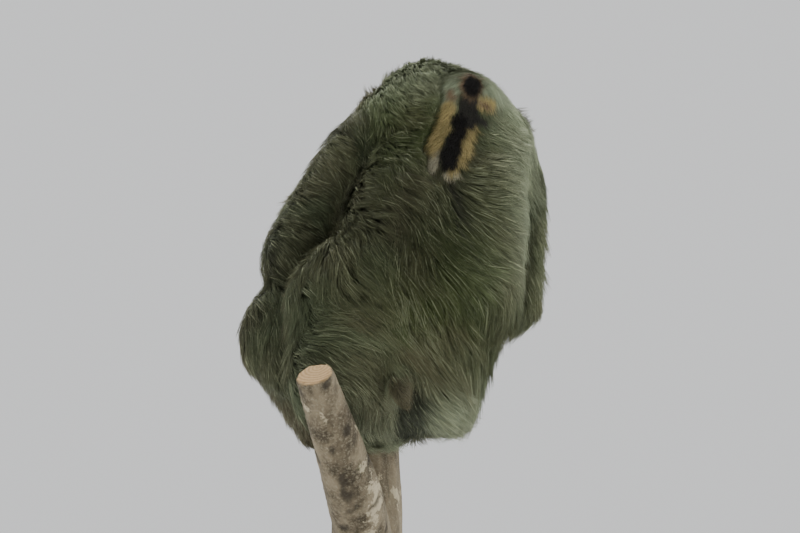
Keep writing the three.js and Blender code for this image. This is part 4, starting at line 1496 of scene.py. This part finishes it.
# Relief of the bark in mm. Fine ridges count against the wide ones, and dents lie where ridges are low.
BARK = {"lumps": 0.5, "ridges": 0.35, "fine_ridges": 0.5, "dents": 0.9, "dents_below": 0.25, "inwards": 0.3}
CRACKS = (0.05, 0.5)  # how deep a dent is where it begins to darken, and has


def end_planes(points):
    """The middle and outward direction of each sawn end: the limb's top, the stem's foot, the fork's tip."""
    top = points[points[:, 2] > points[:, 2].max() - SAWN_DEPTH].mean(axis=0)
    foot = points[points[:, 2] < points[:, 2].min() + SAWN_DEPTH].mean(axis=0)
    behind = points[points[:, 1] < points[:, 1].min() + TIP_BEHIND]
    tip = behind[behind[:, 2] > behind[:, 2].max() - TIP_DEPTH].mean(axis=0)
    nearer, further = TIP_INNER
    inner = points[(points[:, 1] < tip[1] + further) & (points[:, 1] > tip[1] + nearer)].mean(axis=0)
    return [(top, UP), (foot, -UP), (tip, unit(tip - inner))]


def build_perch():
    raw, triangles, _ = node_arrays("perch")
    points, faces = remeshed("perch", raw, triangles, BARK_VOXEL)
    smoother = Smoother(faces, len(points))
    points = smoother.keep_volume(points, BARK_ROUNDS)
    normals = vertex_normals(points, faces)
    sawn = np.zeros(len(points))
    ring_place = np.zeros_like(points)
    for centre, out in end_planes(points):
        level = (points - centre) @ out
        facing = ramp(normals @ out, *SAWN_FACING)
        near = np.linalg.norm(points - centre, axis=1) < SAWN_REACH
        here = facing * near * (level > -3 * SAWN_DEPTH)
        sawn = np.maximum(sawn, here)
        flat = points - centre
        flat = flat - (flat @ out)[:, None] * out
        turn = Vector(out).rotation_difference(Vector((0, 0, 1))).to_matrix()
        ring_place = np.where(here[:, None] > 0, flat @ np.array(turn).T, ring_place)
    stretched = points * BARK_STRETCH
    ridges = noise(stretched, 11 * MM, 71) + BARK["fine_ridges"] * noise(stretched, 5 * MM, 72)
    lumps = noise(points, 48 * MM, 73)
    dents = np.clip(-ridges - BARK["dents_below"], 0, 1)
    relief = BARK["lumps"] * lumps + BARK["ridges"] * ridges - BARK["dents"] * dents - BARK["inwards"]
    points = points + normals * (relief * MM * (1 - sawn))[:, None]
    mesh = mesh_from("perch", points, faces)
    set_values(mesh, "bark_low", ramp(dents, *CRACKS) * (1 - sawn))
    set_values(mesh, "sawn", sawn)
    set_values(mesh, "ring_place", ring_place)
    piece_from("branch", mesh, bark_material(), "bark", "perch")


# ------------------------------------------------------------------ claws, nose and eyes

CLAW_SOLID_RINGS = 6
CLAW_RINGS = 28
CLAW_SIDES = 14
CLAW_TAPER = 0.25  # how much thinner a claw gets along its length
CLAW_POINT = 0.4  # share of its length that narrows to the tip
CLAW_POINT_ROUND = 0.6  # power by which it narrows: the lower, the blunter
CLAW_KEEL = 0.1  # how much further a claw stands out on the side away from the limb
CLAW_STREAKS = (3, 3, 2.5)  # how finely it is streaked round it, twice, and along it
CLAW_LEVEL = 40 * MM  # how far above and below a claw the limb's axis is taken from
CLAW_ROOT = 9 * MM  # how far a claw reaches into the fur of its finger


def claw_line(node):
    """How a claw runs round the upright limb: formulas for its middle and its half sizes.

    Its solid is a row of rings, and each ring lies at one angle round the limb's axis.
    """
    points = np.unique(np.round(arrays_of(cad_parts[node].data)[0], 6), axis=0)
    branch, _, _ = node_arrays("perch")
    beside = np.abs(branch[:, 2] - points[:, 2].mean()) < CLAW_LEVEL
    axis = branch[beside & (branch[:, 1] > TRUNK_MIDDLE[1])][:, :2].mean(axis=0)
    from_axis = points[:, :2] - axis
    order = np.argsort(np.arctan2(from_axis[:, 1], from_axis[:, 0]))
    rings = points[order].reshape(CLAW_SOLID_RINGS, -1, 3)
    middles = rings.mean(axis=1)
    high = np.ptp(rings[..., 2], axis=1) / 2
    reach = np.linalg.norm(rings[..., :2] - axis, axis=2)
    thick = np.ptp(reach, axis=1) / 2
    if thick[0] < thick[-1]:
        middles, high, thick = middles[::-1], high[::-1], thick[::-1]
    share = np.linspace(0, 1, CLAW_SOLID_RINGS)
    turn = np.unwrap(np.arctan2(middles[:, 1] - axis[1], middles[:, 0] - axis[0]))
    radius = np.linalg.norm(middles[:, :2] - axis, axis=1)
    wanted = ((turn, 1), (radius, 2), (middles[:, 2], 1), (thick**2, 1), (high**2, 1))
    return axis, [np.polyfit(share, values, power) for values, power in wanted]


def build_claws():
    material = claw_material()
    for side in SIDES:
        for part in ("hand", "foot"):
            for index in (1, 2, 3):
                node = f"{part}_claw_{side}_{index}"
                mesh = claw_mesh(node, *claw_line(node))
                piece_from(f"{part}_claw_horn_{side}_{index}", mesh, material, "claw_horn", node)


def claw_mesh(name, axis, fits):
    """A smooth round hook along a claw's line, from inside its finger to its tip."""
    turn_fit, radius_fit, level_fit, thick_fit, high_fit = fits
    length = abs(turn_fit[0]) * radius_fit[-1]
    share = np.linspace(-CLAW_ROOT / length, 1, CLAW_RINGS)
    turn, radius, level = (np.polyval(fit, share) for fit in (turn_fit, radius_fit, level_fit))
    kept = np.clip(share, 0, 1)
    to_tip = np.clip((1.002 - share) / CLAW_POINT, 0, 1)  # a little over 0 at the tip, which keeps its ring
    taper = (1 - CLAW_TAPER * kept) * to_tip**CLAW_POINT_ROUND
    thick, high = (np.sqrt(np.maximum(np.polyval(fit, kept), 1e-8)) * taper for fit in (thick_fit, high_fit))
    out = np.stack([np.cos(turn), np.sin(turn), np.zeros(len(turn))], axis=1)
    middles = np.concatenate([axis + out[:, :2] * radius[:, None], level[:, None]], axis=1)
    around = np.linspace(0, 2 * np.pi, CLAW_SIDES, endpoint=False)
    keel = 1 + CLAW_KEEL * np.cos(around)
    rings = (
        middles[:, None]
        + out[:, None] * (thick[:, None] * np.cos(around) * keel)[..., None]
        + UP * (high[:, None] * np.sin(around))[..., None]
    )
    points = np.concatenate([rings.reshape(-1, 3), middles[:1], middles[-1:]])
    faces = tube_faces(CLAW_RINGS, CLAW_SIDES)
    root, tip = len(points) - 2, len(points) - 1
    last = (CLAW_RINGS - 1) * CLAW_SIDES
    for k in range(CLAW_SIDES):
        after = (k + 1) % CLAW_SIDES
        faces += [(root, after, k), (tip, last + k, last + after)]
    faces = np.array(faces)
    if turn_fit[0] > 0:
        faces = faces[:, ::-1]
    mesh = mesh_from(name, points, faces)
    along = np.append(np.repeat(share, CLAW_SIDES), [share[0], 1])
    angle = np.append(np.tile(around, CLAW_RINGS), [0, 0])
    set_values(mesh, "along", along)
    streak_place = np.stack([np.cos(angle), np.sin(angle), along], axis=1) * CLAW_STREAKS
    set_values(mesh, "streak_place", streak_place)
    return mesh


GAZE_AHEAD = 0.25  # how far the pupils are turned ahead from the eyes' own axes


def build_eyes():
    material = eye_material()
    for side in SIDES:
        low, high = (np.array(corner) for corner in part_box("eye_" + side))
        form = bmesh.new()
        bmesh.ops.create_icosphere(form, subdivisions=4, radius=(high - low).max() / 2)
        points, faces = arrays_of(mesh_of("eyeball", form))
        gaze = unit(points) @ unit(EYE_AXES[side] + GAZE_AHEAD * HEAD_AHEAD)
        mesh = mesh_from("eyeball_" + side, points + (low + high) / 2, faces)
        set_values(mesh, "gaze", gaze)
        piece_from("eyeball_" + side, mesh, material, "eye", "eye_" + side)


NOSE_VOXEL = 0.7 * MM
NOSE_ROUNDS = 8
NOSE_FRONT = (-1.0, 2.0)  # mm ahead of the pad's middle
# The nostrils, in mm: how far to the side of the pad's middle, then each hole's and rim's half width,
# half height, how far below the middle, and depth or height. A hole's line slants up outwards.
NOSTRIL_BESIDE = 4.2
NOSTRIL_HOLE = (1.7, 1.0, 0.6, 3.4)
NOSTRIL_RIM = (2.9, 2.1, 0.4, 0.9)
NOSTRIL_SLANT = 0.35
NOSE_GROOVE = {"half_width": 0.55, "depth": 0.9, "down": (-2.5, 1.5)}
NOSE_GRAIN = 0.12


def nostril_part(beside, rise, slant, half_width, half_height, below, height):
    """A rounded hill beside the middle of the nose: how high it is at some places, in mm."""
    above = rise + below - slant * beside
    return height * np.exp(-((beside / half_width) ** 2) - (above / half_height) ** 2)


def build_nose():
    """The leathery pad, with two nostrils that open sideways and a groove between them."""
    low, high = (np.array(corner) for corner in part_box("nose"))
    raw, triangles, _ = node_arrays("nose")
    points, faces = remeshed("nose", raw, triangles, NOSE_VOXEL)
    smoother = Smoother(faces, len(points))
    points = smoother.keep_volume(points, NOSE_ROUNDS)
    normals = vertex_normals(points, faces)
    right, ahead, up = on_head(points)
    middle_right, middle_ahead, middle_up = on_head((low + high) / 2)
    across, rise = right - middle_right, up - middle_up
    push = np.zeros(len(points))
    front = ramp(ahead - middle_ahead, *NOSE_FRONT)
    for side in (-1, 1):
        beside = across - side * NOSTRIL_BESIDE
        hole = nostril_part(beside, rise, NOSTRIL_SLANT * side, *NOSTRIL_HOLE)
        rim = nostril_part(beside, rise, 0, *NOSTRIL_RIM)
        push += front * (rim - hole)
    groove = np.exp(-((across / NOSE_GROOVE["half_width"]) ** 2)) * ramp(-rise, *NOSE_GROOVE["down"])
    push -= front * NOSE_GROOVE["depth"] * groove
    push += NOSE_GRAIN * noise(points, 1.6 * MM, 81)
    mesh = mesh_from("nose", points + normals * (push * MM)[:, None], faces)
    piece_from("nose_pad", mesh, nose_material(), "nose_leather", "nose")


# ------------------------------------------------------------------ the display stand


BOARD_CORNER = 34 * MM
BOARD_RIM = 3 * MM
ROD_RIM = 0.8 * MM
LEVEL = 1e-6  # an edge whose ends differ less than this in height is level


def rise_of(edge):
    return abs(edge.verts[0].co.z - edge.verts[1].co.z)


def rounded(form, edges, radius, segments):
    bmesh.ops.bevel(form, geom=edges, offset=radius, segments=segments, affect="EDGES", profile=0.5)


def build_stand():
    low, high = (np.array(corner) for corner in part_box("stand_base"))
    form = bmesh.new()
    bmesh.ops.create_cube(form, size=1)
    bmesh.ops.scale(form, vec=high - low, verts=form.verts)
    bmesh.ops.translate(form, vec=(low + high) / 2, verts=form.verts)
    upright = [edge for edge in form.edges if rise_of(edge) > (high - low)[2] / 2]
    rounded(form, upright, BOARD_CORNER, 12)
    flats = {face for face in form.faces if len(face.verts) > 8}  # the board's top and underside
    rims = [edge for edge in form.edges if rise_of(edge) < LEVEL and flats.intersection(edge.link_faces)]
    rounded(form, rims, BOARD_RIM, 4)
    board = mesh_of("board", form)
    board.shade_smooth()
    piece_from("board", board, board_material(), "stand_board", "stand_base")
    steel = steel_material()
    for index in (1, 2):
        low, high = (np.array(corner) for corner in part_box(f"stand_rod_{index}"))
        radius = (high - low)[:2].max() / 2
        size = {"radius1": radius, "radius2": radius, "depth": high[2] - low[2]}
        form = bmesh.new()
        bmesh.ops.create_cone(form, cap_ends=True, segments=40, **size)
        bmesh.ops.translate(form, vec=(low + high) / 2, verts=form.verts)
        rounded(form, [edge for edge in form.edges if rise_of(edge) < LEVEL], ROD_RIM, 2)
        rod = mesh_of("rod", form)
        rod.shade_smooth()
        piece_from(f"rod_{index}", rod, steel, "stand_steel", f"stand_rod_{index}")


# ------------------------------------------------------------------ the model

skin_points, skin_faces, skin_owners, skin_smoother = make_skin()
skin_normals = vertex_normals(skin_points, skin_faces)
skin_tree = tree_of(skin_points, skin_faces)
skin_map = unwrapped(skin_points, skin_faces)
build_coat(HairPaths())
build_skin()
build_perch()
build_claws()
build_eyes()
build_nose()
build_stand()

# ------------------------------------------------------------------ camera, light and floor


def set_stage():
    scene = bpy.context.scene
    world = bpy.data.worlds.new("studio")
    world.use_nodes = True
    background = world.node_tree.nodes["Background"]
    background.inputs["Color"].default_value = STUDIO_COLOUR
    background.inputs["Strength"].default_value = STUDIO_LIGHT
    scene.world = world

    aim = TRUNK_MIDDLE + AIM_FROM_TRUNK
    camera = shown("camera", bpy.data.cameras.new("camera"))
    camera.data.lens = CAMERA["focal"]
    camera.data.sensor_width = CAMERA["sensor"]
    camera.location = Vector(aim + TOWARDS * CAMERA["distance"])
    camera.rotation_euler = Vector(-TOWARDS).to_track_quat("-Z", "Y").to_euler()
    scene.camera = camera

    for name, (place, size, power) in LAMPS.items():
        lamp = shown(name, bpy.data.lights.new(name, "AREA"))
        lamp.data.shape = "DISK"
        lamp.data.size = size
        lamp.data.energy = power
        lamp.location = place
        lamp.rotation_euler = (Vector(place) - Vector(aim)).to_track_quat("Z", "Y").to_euler()

    form = bmesh.new()
    bmesh.ops.create_circle(form, cap_ends=True, segments=64, radius=FLOOR_RADIUS)
    floor = shown("floor", mesh_of("floor", form))


set_stage()
